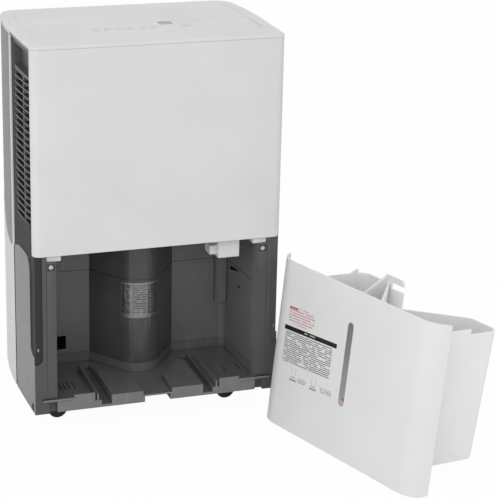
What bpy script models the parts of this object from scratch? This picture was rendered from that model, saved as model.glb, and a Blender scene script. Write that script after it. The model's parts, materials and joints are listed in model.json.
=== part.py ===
"""Upright dehumidifier with its water bucket taken out and set down beside it.

Metres, +X to the right, +Y to the back, +Z up. The origin is the middle of the base pan's flat
underside, and the castors reach CASTOR_DROP below it. The bucket's pieces are modelled in the
bucket's own frame: the middle of its cover's bottom edge, with +Y towards the tub's rear.
"""

import math

import bmesh
import bpy
from mathutils import Matrix, Vector

# ---------------------------------------------------------------------------
# Driving dimensions
# ---------------------------------------------------------------------------
GAP = 0.0003  # between pieces that touch
WIDTH = 0.392  # across the middle of the bowed sides
DEPTH = 0.260
FRONT = -0.138  # the origin is 8 mm behind the middle of the depth
BACK = FRONT + DEPTH
TOP = 0.572  # top cover above the base pan's underside
SIDE_BOW = (0.0024, 0.0133)  # how much narrower the body is at its front and at its back
FRONT_RADIUS = 0.012
BACK_RADIUS = 0.028
FRONT_WRAP_Y = -0.125  # where the front panel's wrapped edge ends
SEAM_Y = -0.008  # seam between the side frames and the rear shell
SHELL_WALL = 0.004
PANEL_WALL = 0.003
LINER_WALL = 0.0025

PANEL_BOTTOM = 0.2548
PILLAR_TOP = 0.2445
LID_HEIGHT = 0.0045  # top cover's edge
LID_SKIN = 0.003
LID_ROUND = 0.0025

BASE_THICK = 0.013  # bay floor above the underside
BASE_RIM = 0.029  # top of the rim that the liner stands on
PAD_HEIGHT = 0.001  # a flat pad under the pan, its face at the origin
PAD_HALF = (0.060, 0.030)
PLATFORM_TOP = 0.0197
PLATFORM_INNER = 0.0233
CHANNEL_FLOOR = 0.005
CHANNEL_X = 0.0815
CHANNEL_WIDTH = 0.016
FIN_HEIGHT = 0.024
FIN_WALL = 0.0025
FIN_SPACE = 0.005
APRON_LOW = 0.0205  # front lip beside the pillars
APRON_HIGH = 0.0265  # and its raised stretch
APRON_STEP = 0.132
SLOT_X = (-0.1395, -0.133, -0.1265, -0.118, 0.129, 0.1535)  # drain slots in the bay floor
PILLAR_INNER = WIDTH / 2 - 0.0365
BAY_HALF = PILLAR_INNER - 0.001
BAY_BACK = 0.024
BAY_FRONT = -0.134
BAY_CORNER = 0.010
BAY_FLARE = 0.0085  # how much wider each side is at the front than at the back
GROOVE_Z = 0.1692  # line round the bay walls
LINER_TOP = 0.2515

PILLAR_FRONT = -0.134
PILLAR_DEPTH = 0.026
PILLAR_SHELF = 0.0145  # width of its lower inner step, which carries the screw and the clip
SCREW_X = PILLAR_INNER + 0.0073
SCREW_Z = 0.2365
SCREW_SHANK = 0.0018
SCREW_HEAD = 0.0034
SCREW_SINK = 0.003  # depth of the recess round its head
SCREW_END = -0.115

GRILLE_Y = (-0.1225, -0.024)  # side louvre window
GRILLE_Z = (0.292, 0.5225)
POCKET_TOP = 0.560  # hand pocket above the louvres
POCKET_DEPTH = 0.016
LOUVRE_PITCH = 0.0102
LOUVRE_WALL = 0.0022
SUNK = 0.002  # depth of the sunk swoosh in the side
SWOOSH_Z = 0.2465  # lower edge of the sunk part on the side frame
SWOOSH_LOW = 0.229  # and where it meets the rear shell
SWOOSH_TOP = 0.5635
SWOOSH_SWEEP = 0.100  # radius of its rising end on the rear shell
SHOULDER = 0.022
TAIL_BACK = -0.1105
TRIM_SPACE = 0.009  # white rim between the seam and the grey inset
TAIL_Z = 0.095
TAIL_ROUND = 0.012

STRIP_HALF = WIDTH / 2 - 0.020  # control strip on the top cover
STRIP_Y = (-0.080, -0.008)
STRIP_SINK = 0.0006
KEY_COUNT = 6
KEY_PITCH = 0.018
KEY_FIRST_X = -0.074
KEY_Y = -0.043
KEY_SIZE = (0.010, 0.006)
KEY_TRAVEL = 0.0006
POWER_X = 0.067
DISPLAY_CENTRE = (0.0405, -0.020)
DISPLAY_SIZE = (0.020, 0.010)
BOARD_X = (-0.092, 0.080)
BOARD_Y = (-0.064, -0.010)
BOARD_TOP = TOP - LID_HEIGHT - 0.0009
BOARD_THICK = 0.0016

REAR_WINDOW_Z = (0.284, 0.540)
FILTER_WALL = 0.006
FILTER_DEPTH = 0.008
TRAY_Z = (LINER_TOP + GAP, LINER_TOP + GAP + 0.020)
TRAY_FLOOR = 0.003
TRAY_HALF = BAY_HALF - 0.0135
TRAY_Y = (-0.118, 0.105)
COIL_HALF = TRAY_HALF - 0.017
REAR_WINDOW_HALF = COIL_HALF + 0.012
COIL_HEIGHT = 0.250
COIL_THICK = 0.022
EVAPORATOR_Y = 0.078
CONDENSER_Y = 0.044
COIL_FIN_PITCH = 0.016
COIL_BEND = 0.009  # how far the return bends stand out
COIL_BEND_Z = 0.030
COIL_BEND_PITCH = 0.048

COMPRESSOR_RADIUS = 0.044
COMPRESSOR_HEIGHT = 0.185
COMPRESSOR_Y = 0.014
COMPRESSOR_STUB = 0.214
COLUMN_FRONT = COMPRESSOR_Y - COMPRESSOR_RADIUS - 0.016  # nose of the column that wraps the compressor
COLUMN_NOSE = COMPRESSOR_RADIUS - 0.006  # nose radius
COLUMN_FLARE = math.radians(35)  # of its sides, from straight back
ACCUMULATOR_RADIUS = 0.015
ACCUMULATOR_HEIGHT = 0.080
ACCUMULATOR_AT = (0.078, 0.082)
ACCUMULATOR_STUB = 0.116
CAPACITOR_AT = (-0.085, 0.082)
CAPACITOR_RADIUS = 0.017
CAPACITOR_HEIGHT = 0.060
TUBE_RADIUS = 0.003

FAN_Z = 0.405
FAN_Y = (-0.108, -0.046)  # the scroll's front and back
SCROLL_WALL = 0.003
DUCT_LOW = 0.012  # bottom of the outlet duct above the shaft
WHEEL_RADIUS = 0.090
SCROLL_RADIUS = WHEEL_RADIUS + 0.020
INLET_RADIUS = WHEEL_RADIUS - 0.020
BLADE_COUNT = 20
SHAFT_RADIUS = 0.004
MOTOR_RADIUS = 0.038

CASTOR_X = WIDTH / 2 - 0.058
CASTOR_Y = (-0.069, 0.086)
CASTOR_WHEEL = 0.015  # wheel radius
CASTOR_DROP = 2 * CASTOR_WHEEL + 0.006  # base pan's underside to the floor
CASTOR_WIDTH = 0.012
CASTOR_TRAIL = 0.0068
CASTOR_STEM = 0.004
STEM_TOP = 0.0105
AXLE_RADIUS = 0.002

DRAIN_AT = (-0.110, 0.232)  # x and z of the gravity drain on the back
DRAIN_RADIUS = 0.011
DRAIN_BORE = 0.007
DRAIN_LENGTH = 0.016
CAP_WALL = 0.0025
PUMP_OUTLET_AT = (-0.060, 0.232)
PUMP_OUTLET_RADIUS = 0.008
PUMP_OUTLET_BORE = 0.004
PUMP_OUTLET_LENGTH = 0.014
GLAND_AT = (0.120, 0.060)
GLAND_RADIUS = 0.010

# Bucket, in its own frame
BUCKET_TURN = math.radians(-71.7)
BUCKET_LEAN = math.radians(6.5)
COVER_WIDTH = WIDTH - 0.014
BUCKET_CORNER = (WIDTH / 2 - 0.0387, FRONT - 0.0090)  # its far end, by the machine's right front corner
BUCKET_AT = tuple(
    corner + COVER_WIDTH / 2 * part
    for corner, part in zip(BUCKET_CORNER, (math.cos(BUCKET_TURN), math.sin(BUCKET_TURN)))
)
COVER_HEIGHT = 0.264
COVER_RADIUS = 0.045
COVER_WRAP = 0.025
COVER_WALL = 0.003
TUB_HALF = BAY_HALF - 0.0065
TUB_DEPTH = 0.158
TUB_RIM = 0.232
TUB_BOTTOM = 0.030
TUB_DRAFT = 0.95  # bottom size as a share of the rim's
TUB_WALL = 0.003
TUB_CORNER = 0.018
LOBE_INNER = 0.091  # the flared recess at the tub's rear
RECESS_Y = COLUMN_FRONT - FRONT - 0.014
RECESS_HALF = 0.018
GRIP_LEFT = 0.099
GRIP_RIGHT = 0.056
GRIP_RISE = 0.012
STEP_RISE = 0.008  # raised front of the right wall
STEP_END = 0.098
RUNNER_WIDTH = 0.008
RUNNER_END = 0.150
HEEL_Y = 0.012  # where the cover's bottom edge meets the floor
WINDOW_X = 0.003
WINDOW_Z = (0.081, 0.213)
WINDOW_WIDTH = 0.013
FLOAT_X = (0.098, 0.132)
FLOAT_PIN = (0.0235, 0.204)
FLOAT_REACH = 0.070
FLOAT_THICK = 0.012

ARC_STEPS = 8
SIDE_STEPS = 6
ROUND_STEPS = 24

LID_BOTTOM = TOP - LID_HEIGHT
PANEL_TOP = LID_BOTTOM - GAP


# ---------------------------------------------------------------------------
# Modelling helpers
# ---------------------------------------------------------------------------
def material(name, colour, roughness, metallic=0.0):
    """A Principled material; colour is an sRGB hex number."""
    made = bpy.data.materials.new(name)
    made.use_nodes = True
    shader = made.node_tree.nodes["Principled BSDF"]
    parts = [(colour >> shift & 255) / 255 for shift in (16, 8, 0)]
    linear = [c / 12.92 if c <= 0.04045 else ((c + 0.055) / 1.055) ** 2.4 for c in parts]
    shader.inputs["Base Color"].default_value = (*linear, 1)
    shader.inputs["Roughness"].default_value = roughness
    shader.inputs["Metallic"].default_value = metallic
    return made


def solid(name, bm, finish=None):
    """A named object from a bmesh, its faces turned outwards."""
    bmesh.ops.recalc_face_normals(bm, faces=bm.faces)
    mesh = bpy.data.meshes.new(name)
    bm.to_mesh(mesh)
    bm.free()
    made = bpy.data.objects.new(name, mesh)
    bpy.context.scene.collection.objects.link(made)
    if finish:
        mesh.materials.append(finish)
    return made


def place(points, level, axis):
    """Flat points put at one level along an axis."""
    if axis == "X":
        return [Vector((level, a, b)) for a, b in points]
    if axis == "Y":
        return [Vector((a, level, b)) for a, b in points]
    return [Vector((a, b, level)) for a, b in points]


def prism(name, points, low, high, finish=None, axis="Z"):
    """A flat outline made solid between two levels along an axis."""
    bm = bmesh.new()
    face = bm.faces.new([bm.verts.new(p) for p in place(points, low, axis)])
    grown = bmesh.ops.extrude_face_region(bm, geom=[face])["geom"]
    verts = [g for g in grown if isinstance(g, bmesh.types.BMVert)]
    shift = place([(0, 0)], high - low, axis)[0]
    bmesh.ops.translate(bm, verts=verts, vec=shift)
    return solid(name, bm, finish)


def box(name, x, y, z, finish=None):
    """A box from its extents along the three axes."""
    corners = [(x[0], y[0]), (x[1], y[0]), (x[1], y[1]), (x[0], y[1])]
    return prism(name, corners, z[0], z[1], finish)


def arc(centre, radius, start, end, steps=ARC_STEPS):
    """Points along an arc, angles in degrees."""
    points = []
    for step in range(steps + 1):
        angle = math.radians(start + (end - start) * step / steps)
        points.append((centre[0] + radius * math.cos(angle), centre[1] + radius * math.sin(angle)))
    return points


def circle(centre, radius, steps=ROUND_STEPS):
    return arc(centre, radius, 0, 360 - 360 / steps, steps - 1)


def rod(name, centre, radius, low, high, finish=None, axis="Z", steps=ROUND_STEPS):
    """A round bar along an axis; centre is its place across that axis."""
    return prism(name, circle(centre, radius, steps), low, high, finish, axis)


def turned(name, profile, finish=None, steps=ROUND_STEPS):
    """A profile of (radius, height) points spun about Z."""
    bm = bmesh.new()
    verts = [bm.verts.new((r, 0, z)) for r, z in profile]
    edges = [bm.edges.new(pair) for pair in zip(verts, verts[1:])]
    if profile[0][0] and profile[-1][0]:
        edges.append(bm.edges.new((verts[-1], verts[0])))
    bmesh.ops.spin(
        bm, geom=verts + edges, angle=math.tau, steps=steps, axis=(0, 0, 1), cent=(0, 0, 0), use_merge=True
    )
    bmesh.ops.remove_doubles(bm, verts=bm.verts, dist=1e-6)
    return solid(name, bm, finish)


def bake(target):
    """Replaces an object's mesh with what its modifiers make of it."""
    graph = bpy.context.evaluated_depsgraph_get()
    mesh = bpy.data.meshes.new_from_object(target.evaluated_get(graph))
    target.modifiers.clear()
    target.data = mesh


def combine(target, operation, tools):
    for tool in tools:
        modifier = target.modifiers.new(operation.lower(), "BOOLEAN")
        modifier.operation = operation
        modifier.object = tool
    bake(target)
    for tool in tools:
        bpy.data.objects.remove(tool)
    return target


def cut(target, *tools):
    return combine(target, "DIFFERENCE", tools)


def join(target, *tools):
    return combine(target, "UNION", tools)


def overlap(target, *tools):
    return combine(target, "INTERSECT", tools)


def mirrored(points):
    return [(-x, y) for x, y in points]


def move(target, matrix):
    """Turns and shifts the mesh, leaving the object's origin where it is."""
    target.data.transform(matrix)
    if matrix.determinant() < 0:
        target.data.flip_normals()
    return target


def mirror_copy(target, name):
    """The same piece on the other side of the body."""
    made = target.copy()
    made.data = target.data.copy()
    made.name = made.data.name = name
    bpy.context.scene.collection.objects.link(made)
    return move(made, Matrix.Scale(-1, 4, (1, 0, 0)))


def frame_at(name, place_at, turn=(0, 0, 0), parent=None):
    """An empty on a joint's axis, for the pieces that move together."""
    made = bpy.data.objects.new(name, None)
    bpy.context.scene.collection.objects.link(made)
    made.location = place_at
    made.rotation_euler = turn
    made.parent = parent
    return made


def seat(piece, parent=None, at=(0, 0, 0)):
    piece.parent = parent
    piece.location = at
    return piece


# ---------------------------------------------------------------------------
# Body outline
# ---------------------------------------------------------------------------
def half_width(y):
    bow, end = (SIDE_BOW[0], FRONT) if y < 0 else (SIDE_BOW[1], BACK)
    return WIDTH / 2 - bow * (y / end) ** 2


def left_edge(inset=0.0):
    """Left half of the body's outline, from the middle of the front to the middle of the back."""
    y_front, y_back = FRONT + FRONT_RADIUS, BACK - BACK_RADIUS
    points = [(0.0, FRONT + inset)]
    centre = (FRONT_RADIUS - half_width(y_front), y_front)
    points += arc(centre, FRONT_RADIUS - inset, 270, 180)
    for step in range(1, SIDE_STEPS):
        y = y_front + (y_back - y_front) * step / SIDE_STEPS
        points.append((inset - half_width(y), y))
    centre = (BACK_RADIUS - half_width(y_back), y_back)
    points += arc(centre, BACK_RADIUS - inset, 180, 90)
    points.append((0.0, BACK - inset))
    return points


def at_depth(points, y):
    for (xa, ya), (xb, yb) in zip(points, points[1:]):
        if ya <= y <= yb and yb > ya:
            return (xa + (xb - xa) * (y - ya) / (yb - ya), y)
    return points[0] if y < points[0][1] else points[-1]


def between(points, low, high):
    """The stretch of an outline between two depths, cut exactly at both."""
    kept = [p for p in points if low < p[1] < high]
    if low > points[0][1]:
        kept.insert(0, at_depth(points, low))
    if high < points[-1][1]:
        kept.append(at_depth(points, high))
    return kept


def ring(inset):
    """The whole outline."""
    left = left_edge(inset)
    return left + mirrored(left[1:-1])[::-1]


def side_line(inset, low, high, steps=5):
    """The bowed left side on its own, without the corners."""
    depths = [low + (high - low) * step / steps for step in range(steps + 1)]
    return [(inset - half_width(y), y) for y in depths]


def side_strip(low, high, outer, inner):
    """Plan of a wall that follows the left side between two depths."""
    return between(left_edge(outer), low, high) + between(left_edge(inner), low, high)[::-1]


def front_strip(high, outer, inner):
    """Plan of a wall round the front, its ends at one depth on both sides."""
    a, b = between(left_edge(outer), FRONT - 1, high), between(left_edge(inner), FRONT - 1, high)
    return mirrored(a)[:0:-1] + a + b[:0:-1] + mirrored(b)


def back_strip(low, outer, inner):
    """Plan of a wall round the back, its ends at one depth on both sides."""
    a, b = between(left_edge(outer), low, BACK + 1), between(left_edge(inner), low, BACK + 1)
    return a + mirrored(a)[-2::-1] + mirrored(b) + b[-2::-1]


def column_path(grow=0.0, wall_y=BAY_BACK):
    """The column's left side and nose in plan, from the back wall to the middle, then mirrored."""
    centre = (0.0, COLUMN_FRONT + COLUMN_NOSE)
    radius = COLUMN_NOSE + grow
    flare = math.degrees(COLUMN_FLARE)
    nose = arc(centre, radius, 180 + flare, 360 - flare, 10)
    x, y = nose[0]
    foot = x - (wall_y - y) * math.tan(COLUMN_FLARE)
    return [(foot, wall_y)] + nose + [(-foot, wall_y)]


def bay_walls(grow=0.0, front=BAY_FRONT, corner=BAY_CORNER):
    """The bay's side and back walls in plan, left front to right front; grow moves them outwards."""
    half, back = BAY_HALF + grow, BAY_BACK + grow
    flare = BAY_FLARE * (BAY_BACK - front) / (BAY_BACK - BAY_FRONT)
    left = [(-half - flare, front)] + arc((corner - half + grow, back - corner - grow), corner + grow, 180, 90, 4)
    return left + column_path(-grow, back) + mirrored(left)[::-1]


def inset_polygon(points, distance):
    """An anticlockwise polygon with every side moved inwards by the same distance."""
    moved = []
    for before, here, after in zip(points[-1:] + points[:-1], points, points[1:] + points[:1]):
        a = (Vector(here) - Vector(before)).normalized()
        b = (Vector(after) - Vector(here)).normalized()
        normal = Vector((-a.y - b.y, a.x + b.x)).normalized()
        spread = normal.x * -a.y + normal.y * a.x
        moved.append(tuple(Vector(here) + normal * distance / spread))
    return moved


def tapered(name, bottom, top, low, high, finish=None):
    """A solid between two plans with the same number of corners."""
    bm = bmesh.new()
    lower = [bm.verts.new((x, y, low)) for x, y in bottom]
    upper = [bm.verts.new((x, y, high)) for x, y in top]
    bm.faces.new(lower[::-1])
    bm.faces.new(upper)
    for i in range(len(lower)):
        j = (i + 1) % len(lower)
        bm.faces.new((lower[i], lower[j], upper[j], upper[i]))
    return solid(name, bm, finish)


def boxes(name, extents):
    """Several separate boxes in one mesh, for cutting or joining in one go."""
    bm = bmesh.new()
    for low, high in extents:
        size = Vector(high) - Vector(low)
        at = Matrix.Translation((Vector(high) + Vector(low)) / 2) @ Matrix.Diagonal((*size, 1))
        bmesh.ops.create_cube(bm, size=1, matrix=at)
    return solid(name, bm)


def capsule(centre, length, width, upright=False):
    """A slot outline with round ends."""
    reach = (length - width) / 2
    radius = width / 2
    if upright:
        top = arc((centre[0], centre[1] + reach), radius, 0, 180, 6)
        return top + arc((centre[0], centre[1] - reach), radius, 180, 360, 6)
    right = arc((centre[0] + reach, centre[1]), radius, -90, 90, 6)
    return right + arc((centre[0] - reach, centre[1]), radius, 90, 270, 6)


def pipe(name, points, radius, finish):
    """A bent tube through a few points, its bends rounded by a smooth curve and its ends straight."""
    points = [Vector(p) for p in points]
    points.insert(1, points[0] + (points[1] - points[0]).normalized() * radius)
    points.insert(-1, points[-1] + (points[-2] - points[-1]).normalized() * radius)
    padded = [2 * points[0] - points[1]] + points + [2 * points[-1] - points[-2]]
    path = []
    for a, b, c, d in zip(padded, padded[1:], padded[2:], padded[3:]):
        for t in (0, 0.25, 0.5, 0.75):
            path.append(
                0.5 * (2 * b + (c - a) * t + (2 * a - 5 * b + 4 * c - d) * t**2
                       + (3 * b - a - 3 * c + d) * t**3)
            )
    path.append(points[-1])
    curve = bpy.data.curves.new(name, "CURVE")
    curve.dimensions = "3D"
    curve.bevel_depth = radius
    curve.bevel_resolution = 2
    curve.use_fill_caps = True
    spline = curve.splines.new("POLY")
    spline.points.add(len(path) - 1)
    for point, at in zip(spline.points, path):
        point.co = (*at, 1)
    curve.materials.append(finish)
    made = bpy.data.objects.new(name, curve)
    bpy.context.scene.collection.objects.link(made)
    return made


# ---------------------------------------------------------------------------
# Machine: casing
# ---------------------------------------------------------------------------
def base_pan(finish):
    pan = prism("base_pan", ring(SHELL_WALL + GAP), PAD_HEIGHT, BASE_RIM, finish)
    join(pan, box("pad", (-PAD_HALF[0], PAD_HALF[0]), (-PAD_HALF[1], PAD_HALF[1]), (0, PAD_HEIGHT + 0.001)))
    pillar_back = PILLAR_FRONT + PILLAR_DEPTH + GAP
    bay = prism("bay", bay_walls(front=FRONT - 0.02), BASE_THICK, 1)
    doorway = box("doorway", (-PILLAR_INNER, PILLAR_INNER), (-1, pillar_back), (BASE_THICK, 1))
    inner = PILLAR_INNER - GAP
    notches = boxes(
        "notches",
        [((-1, -1, -1), (-inner, pillar_back, 1)), ((inner, -1, -1), (1, pillar_back, 1))],
    )
    hold = prism("hold", ring(SHELL_WALL + GAP + 0.004), BASE_THICK - 0.003, 1)
    cut(hold, prism("keep", bay_walls(0.0055, front=-1), -1, 2), box("front", (-1, 1), (-1, -0.095), (-1, 2)))
    cut(pan, bay, doorway, notches, hold)

    edge = FRONT + SHELL_WALL + GAP
    near, far = CHANNEL_X - CHANNEL_WIDTH / 2, CHANNEL_X + CHANNEL_WIDTH / 2
    platform = [
        (-near, edge), (-PLATFORM_INNER, edge), (-PLATFORM_INNER, -0.080), (-0.047, -0.046), (-near, -0.020)
    ]
    fin = far + FIN_SPACE
    rises = []
    for points, top in (
        (platform, PLATFORM_TOP),
        ([(-fin - FIN_WALL, edge), (-fin, edge), (-fin, -0.010), (-fin - FIN_WALL, -0.010)], FIN_HEIGHT),
        ([(-inner, edge), (-APRON_STEP, edge), (-APRON_STEP, edge + 0.0025), (-inner, edge + 0.0025)], APRON_LOW),
        ([(-APRON_STEP - 0.001, edge), (-fin - FIN_WALL - 0.003, edge), (-fin - FIN_WALL - 0.003, edge + 0.0025),
          (-APRON_STEP - 0.001, edge + 0.0025)], APRON_HIGH),
    ):
        rises.append(prism("rise", points, BASE_THICK - 0.001, top))
        rises.append(prism("rise", mirrored(points)[::-1], BASE_THICK - 0.001, top))
    join(pan, *rises)
    channels = boxes(
        "channels",
        [((side * CHANNEL_X - CHANNEL_WIDTH / 2, -1, CHANNEL_FLOOR), (side * CHANNEL_X + CHANNEL_WIDTH / 2, 0.006, 1))
         for side in (-1, 1)],
    )
    arch = box("arch", (-0.0205, 0.0205), (-1, -0.108), (-1, BASE_THICK - 0.0025))
    slots = boxes("slots", [((x - 0.0007, -0.080, BASE_THICK - 0.003), (x + 0.0007, -0.052, 1)) for x in SLOT_X])
    stems = [
        rod("stem", (side * CASTOR_X, y), CASTOR_STEM + GAP, -1, STEM_TOP + GAP, steps=16)
        for side in (-1, 1)
        for y in CASTOR_Y
    ]
    return cut(pan, channels, arch, slots, *stems)


def bay_liner(finish):
    front = PILLAR_FRONT + PILLAR_DEPTH + GAP
    plan = bay_walls(front=front) + bay_walls(LINER_WALL, front)[::-1]
    liner = prism("bay_liner", plan, BASE_RIM + GAP, LINER_TOP, finish)
    hatch = box("hatch", (-0.124, -0.1075), (0, 0.1), (0.037, 0.060))
    right = BAY_HALF - 0.01
    slits = [
        prism("slit", [(-0.041, 0.1655), (0.001, 0.156), (-0.006, 0.1645)], right, right + 0.1, axis="X"),
        prism("slit", [(-0.025, 0.137), (-0.0465, 0.1395), (-0.0465, 0.142)], right, right + 0.1, axis="X"),
    ]
    line = prism("line", bay_walls(-0.005, front - 0.01) + bay_walls(0.0008, front - 0.01)[::-1],
                 GROOVE_Z, GROOVE_Z + 0.0012)
    return cut(liner, hatch, line, *slits)


def swoosh_front():
    """The sunk area of a side frame, in depth and height: louvre field, then a tail down the front."""
    tail = arc((TAIL_BACK - TAIL_ROUND, TAIL_Z + TAIL_ROUND), TAIL_ROUND, 270, 360, 5)
    shoulder = arc((TAIL_BACK + SHOULDER, SWOOSH_Z - SHOULDER), SHOULDER, 180, 90, 5)
    front, end = FRONT - 0.01, SEAM_Y + 0.01
    edge = [(-0.062, SWOOSH_Z - 0.0004), (-0.040, SWOOSH_Z - 0.0022), (SEAM_Y - 0.016, SWOOSH_LOW + 0.010), (end, SWOOSH_LOW)]
    return [(front, SWOOSH_TOP), (front, TAIL_Z)] + tail + shoulder + edge + [(end, SWOOSH_TOP)]


def side_frame(finish):
    frame = prism("side_frame_left", side_strip(FRONT_WRAP_Y, SEAM_Y, 0, SHELL_WALL), 0, PANEL_TOP, finish)
    window = box("window", (-1, 0), GRILLE_Y, (GRILLE_Z[0], POCKET_TOP))
    cut(frame, window)
    back = PILLAR_FRONT + PILLAR_DEPTH
    outer = side_line(0, PILLAR_FRONT, back)
    pillar = prism("pillar", outer + [(-PILLAR_INNER, back), (-PILLAR_INNER, PILLAR_FRONT)], 0, PILLAR_TOP)
    ledge = -PILLAR_INNER - PILLAR_SHELF
    join(pillar, prism("post", outer + [(ledge, back), (ledge, PILLAR_FRONT)], 0.1, PANEL_BOTTOM - GAP))
    corner = box("corner", (ledge + 0.002, 0), (-1, PILLAR_FRONT + 0.008), (-1, BASE_THICK + 0.004))
    sink = 0.0058
    recess = box("recess", (-SCREW_X - sink, -SCREW_X + sink), (-1, PILLAR_FRONT + SCREW_SINK),
                 (SCREW_Z - sink, SCREW_Z + sink))
    hole = rod("hole", (-SCREW_X, SCREW_Z), SCREW_SHANK + GAP, -1, SCREW_END + GAP, axis="Y", steps=12)
    cut(pillar, recess, hole, corner)
    join(frame, pillar)
    skin = prism("skin", side_line(-0.002, FRONT - 0.01, SEAM_Y + 0.01) + side_line(SUNK, FRONT - 0.01, SEAM_Y + 0.01)[::-1], -1, 2)
    return cut(frame, overlap(skin, prism("swoosh", swoosh_front(), -1, 0, axis="X")))


def screw(finish):
    seat_y = PILLAR_FRONT + SCREW_SINK - GAP
    made = rod("screw_left", (-SCREW_X, SCREW_Z), SCREW_HEAD, seat_y - 0.0018, seat_y, finish, "Y", 16)
    return join(made, rod("shank", (-SCREW_X, SCREW_Z), SCREW_SHANK, seat_y - 0.001, SCREW_END, axis="Y", steps=12))


def panel_clip(finish):
    """A clip between the pillar's top and the front panel's bottom edge, stepped on its outer side."""
    left, right = -PILLAR_INNER - 0.0135, -PILLAR_INNER + 0.0085
    bottom = PILLAR_TOP + GAP
    clip = box("panel_clip_left", (left, right), (-0.131, -0.113), (bottom, PANEL_BOTTOM - 0.001), finish)
    return cut(clip, box("step", (-1, left + 0.007), (-1, -0.122), (bottom + 0.008, 1)))


def louvre_insert(finish):
    y0, y1 = GRILLE_Y[0] + GAP, GRILLE_Y[1] - GAP
    outer, inner = SUNK + 0.0006, 0.0125
    z0, z1 = GRILLE_Z[0] + GAP, GRILLE_Z[1]
    # The pocket is deeper than the front corner's radius, so its walls follow the side's own line.
    around = side_line(outer, y0, y1) + side_line(POCKET_DEPTH, y0, y1)[::-1]
    within = side_line(-0.01, y0 + 0.0025, y1 - 0.0025) + side_line(POCKET_DEPTH - 0.0025, y0 + 0.0025, y1 - 0.0025)[::-1]
    cup = prism("louvre_left", around, z1 - 0.0025, POCKET_TOP - GAP, finish)
    cut(cup, prism("hollow", within, z1, POCKET_TOP - 0.003))
    parts = []
    middle = (y0 + y1) / 2
    for a, b in ((y0, y0 + 0.003), (middle - 0.0015, middle + 0.0015), (y1 - 0.003, y1)):
        parts.append(prism("post", side_strip(a, b, outer + 0.001, inner), z0, z1))
    count = int((z1 - z0) / LOUVRE_PITCH)
    for step in range(count):
        z = z0 + step * LOUVRE_PITCH
        parts.append(prism("slat", side_strip(y0, y1, outer, inner - 0.002), z, z + LOUVRE_WALL))
    return join(cup, *parts)


def front_panel(finish):
    return prism("front_panel", front_strip(FRONT_WRAP_Y - GAP, 0, PANEL_WALL), PANEL_BOTTOM, PANEL_TOP, finish)


def key_places():
    return [(KEY_FIRST_X + step * KEY_PITCH, KEY_Y) for step in range(KEY_COUNT)] + [(POWER_X, KEY_Y)]


def top_cover(finish):
    lid = prism("top_cover", ring(0), LID_BOTTOM, TOP, finish)
    bm = bmesh.new()
    bm.from_mesh(lid.data)
    rim = [e for e in bm.edges if all(abs(v.co.z - TOP) < 1e-6 for v in e.verts)]
    bmesh.ops.bevel(bm, geom=rim, offset=LID_ROUND, segments=3, profile=0.5, affect="EDGES", material=-1)
    bm.to_mesh(lid.data)
    bm.free()
    hollow = prism("hollow", ring(SHELL_WALL + 0.004), LID_BOTTOM - 1, TOP - LID_SKIN)
    strip = box("strip", (-STRIP_HALF, STRIP_HALF), STRIP_Y, (TOP - STRIP_SINK, 1))
    line = prism("line", back_strip(STRIP_Y[1] + 0.001, 0.0195, 0.0203), TOP - 0.0005, 1)
    cut(lid, hollow, strip, line)
    posts = [
        rod("post", (x, y), 0.003, BOARD_TOP + GAP, TOP - LID_SKIN + 0.001, steps=12)
        for x in (BOARD_X[0] + 0.006, BOARD_X[1] - 0.006)
        for y in (BOARD_Y[0] + 0.006, BOARD_Y[1] - 0.006)
    ]
    join(lid, *posts)
    holes = [
        prism("hole", capsule(at, KEY_SIZE[0] + 2 * GAP, KEY_SIZE[1] + 2 * GAP), 0, 1) for at in key_places()
    ]
    x, y = DISPLAY_CENTRE
    half = [size / 2 + GAP for size in DISPLAY_SIZE]
    return cut(lid, *holes, box("display", (x - half[0], x + half[0]), (y - half[1], y + half[1]), (0, 1)))


def control_keys(finish):
    top = TOP - STRIP_SINK + 0.0002
    low = BOARD_TOP + KEY_TRAVEL + 0.0003
    names = [f"key_{number}" for number in range(1, KEY_COUNT + 1)] + ["key_power"]
    for name, at in zip(names, key_places()):
        key = prism(name, capsule((0, 0), *KEY_SIZE), low - top, 0, finish)
        seat(key, at=(*at, top))


def display_window(finish):
    x, y = DISPLAY_CENTRE
    half = [size / 2 for size in DISPLAY_SIZE]
    return box("display_window", (x - half[0], x + half[0]), (y - half[1], y + half[1]),
               (BOARD_TOP + GAP, TOP - STRIP_SINK - 0.0002), finish)


def swoosh_rear(margin=0.0):
    """The sunk area of the rear shell's side, in depth and height, with a curved lower edge."""
    low = arc((SEAM_Y + 0.022, SWOOSH_LOW + SWOOSH_SWEEP), SWOOSH_SWEEP - margin, 270, 335, 8)
    start, top = SEAM_Y + TRIM_SPACE + margin, SWOOSH_TOP - margin
    return [(start, low[0][1])] + low + [(low[-1][0], top), (start, top)]


def rear_shell(finish):
    shell = prism("rear_shell", back_strip(SEAM_Y + GAP, 0, SHELL_WALL), 0, PANEL_TOP, finish)
    window = box("window", (-REAR_WINDOW_HALF, REAR_WINDOW_HALF), (0.1, 1), REAR_WINDOW_Z)
    holes = [
        rod("hole", at, radius + GAP, 0.1, 1, axis="Y")
        for at, radius in ((DRAIN_AT, DRAIN_RADIUS), (PUMP_OUTLET_AT, PUMP_OUTLET_RADIUS), (GLAND_AT, GLAND_RADIUS))
    ]
    sunk = []
    for side in (-1, 1):
        skin = prism("skin", side_strip(SEAM_Y + 0.001, BACK - 0.001, -0.002, SUNK), -1, 2)
        overlap(skin, prism("swoosh", swoosh_rear(), -1, 0, axis="X"))
        if side > 0:
            move(skin, Matrix.Scale(-1, 4, (1, 0, 0)))
        sunk.append(skin)
    return cut(shell, window, *holes, *sunk)


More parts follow.
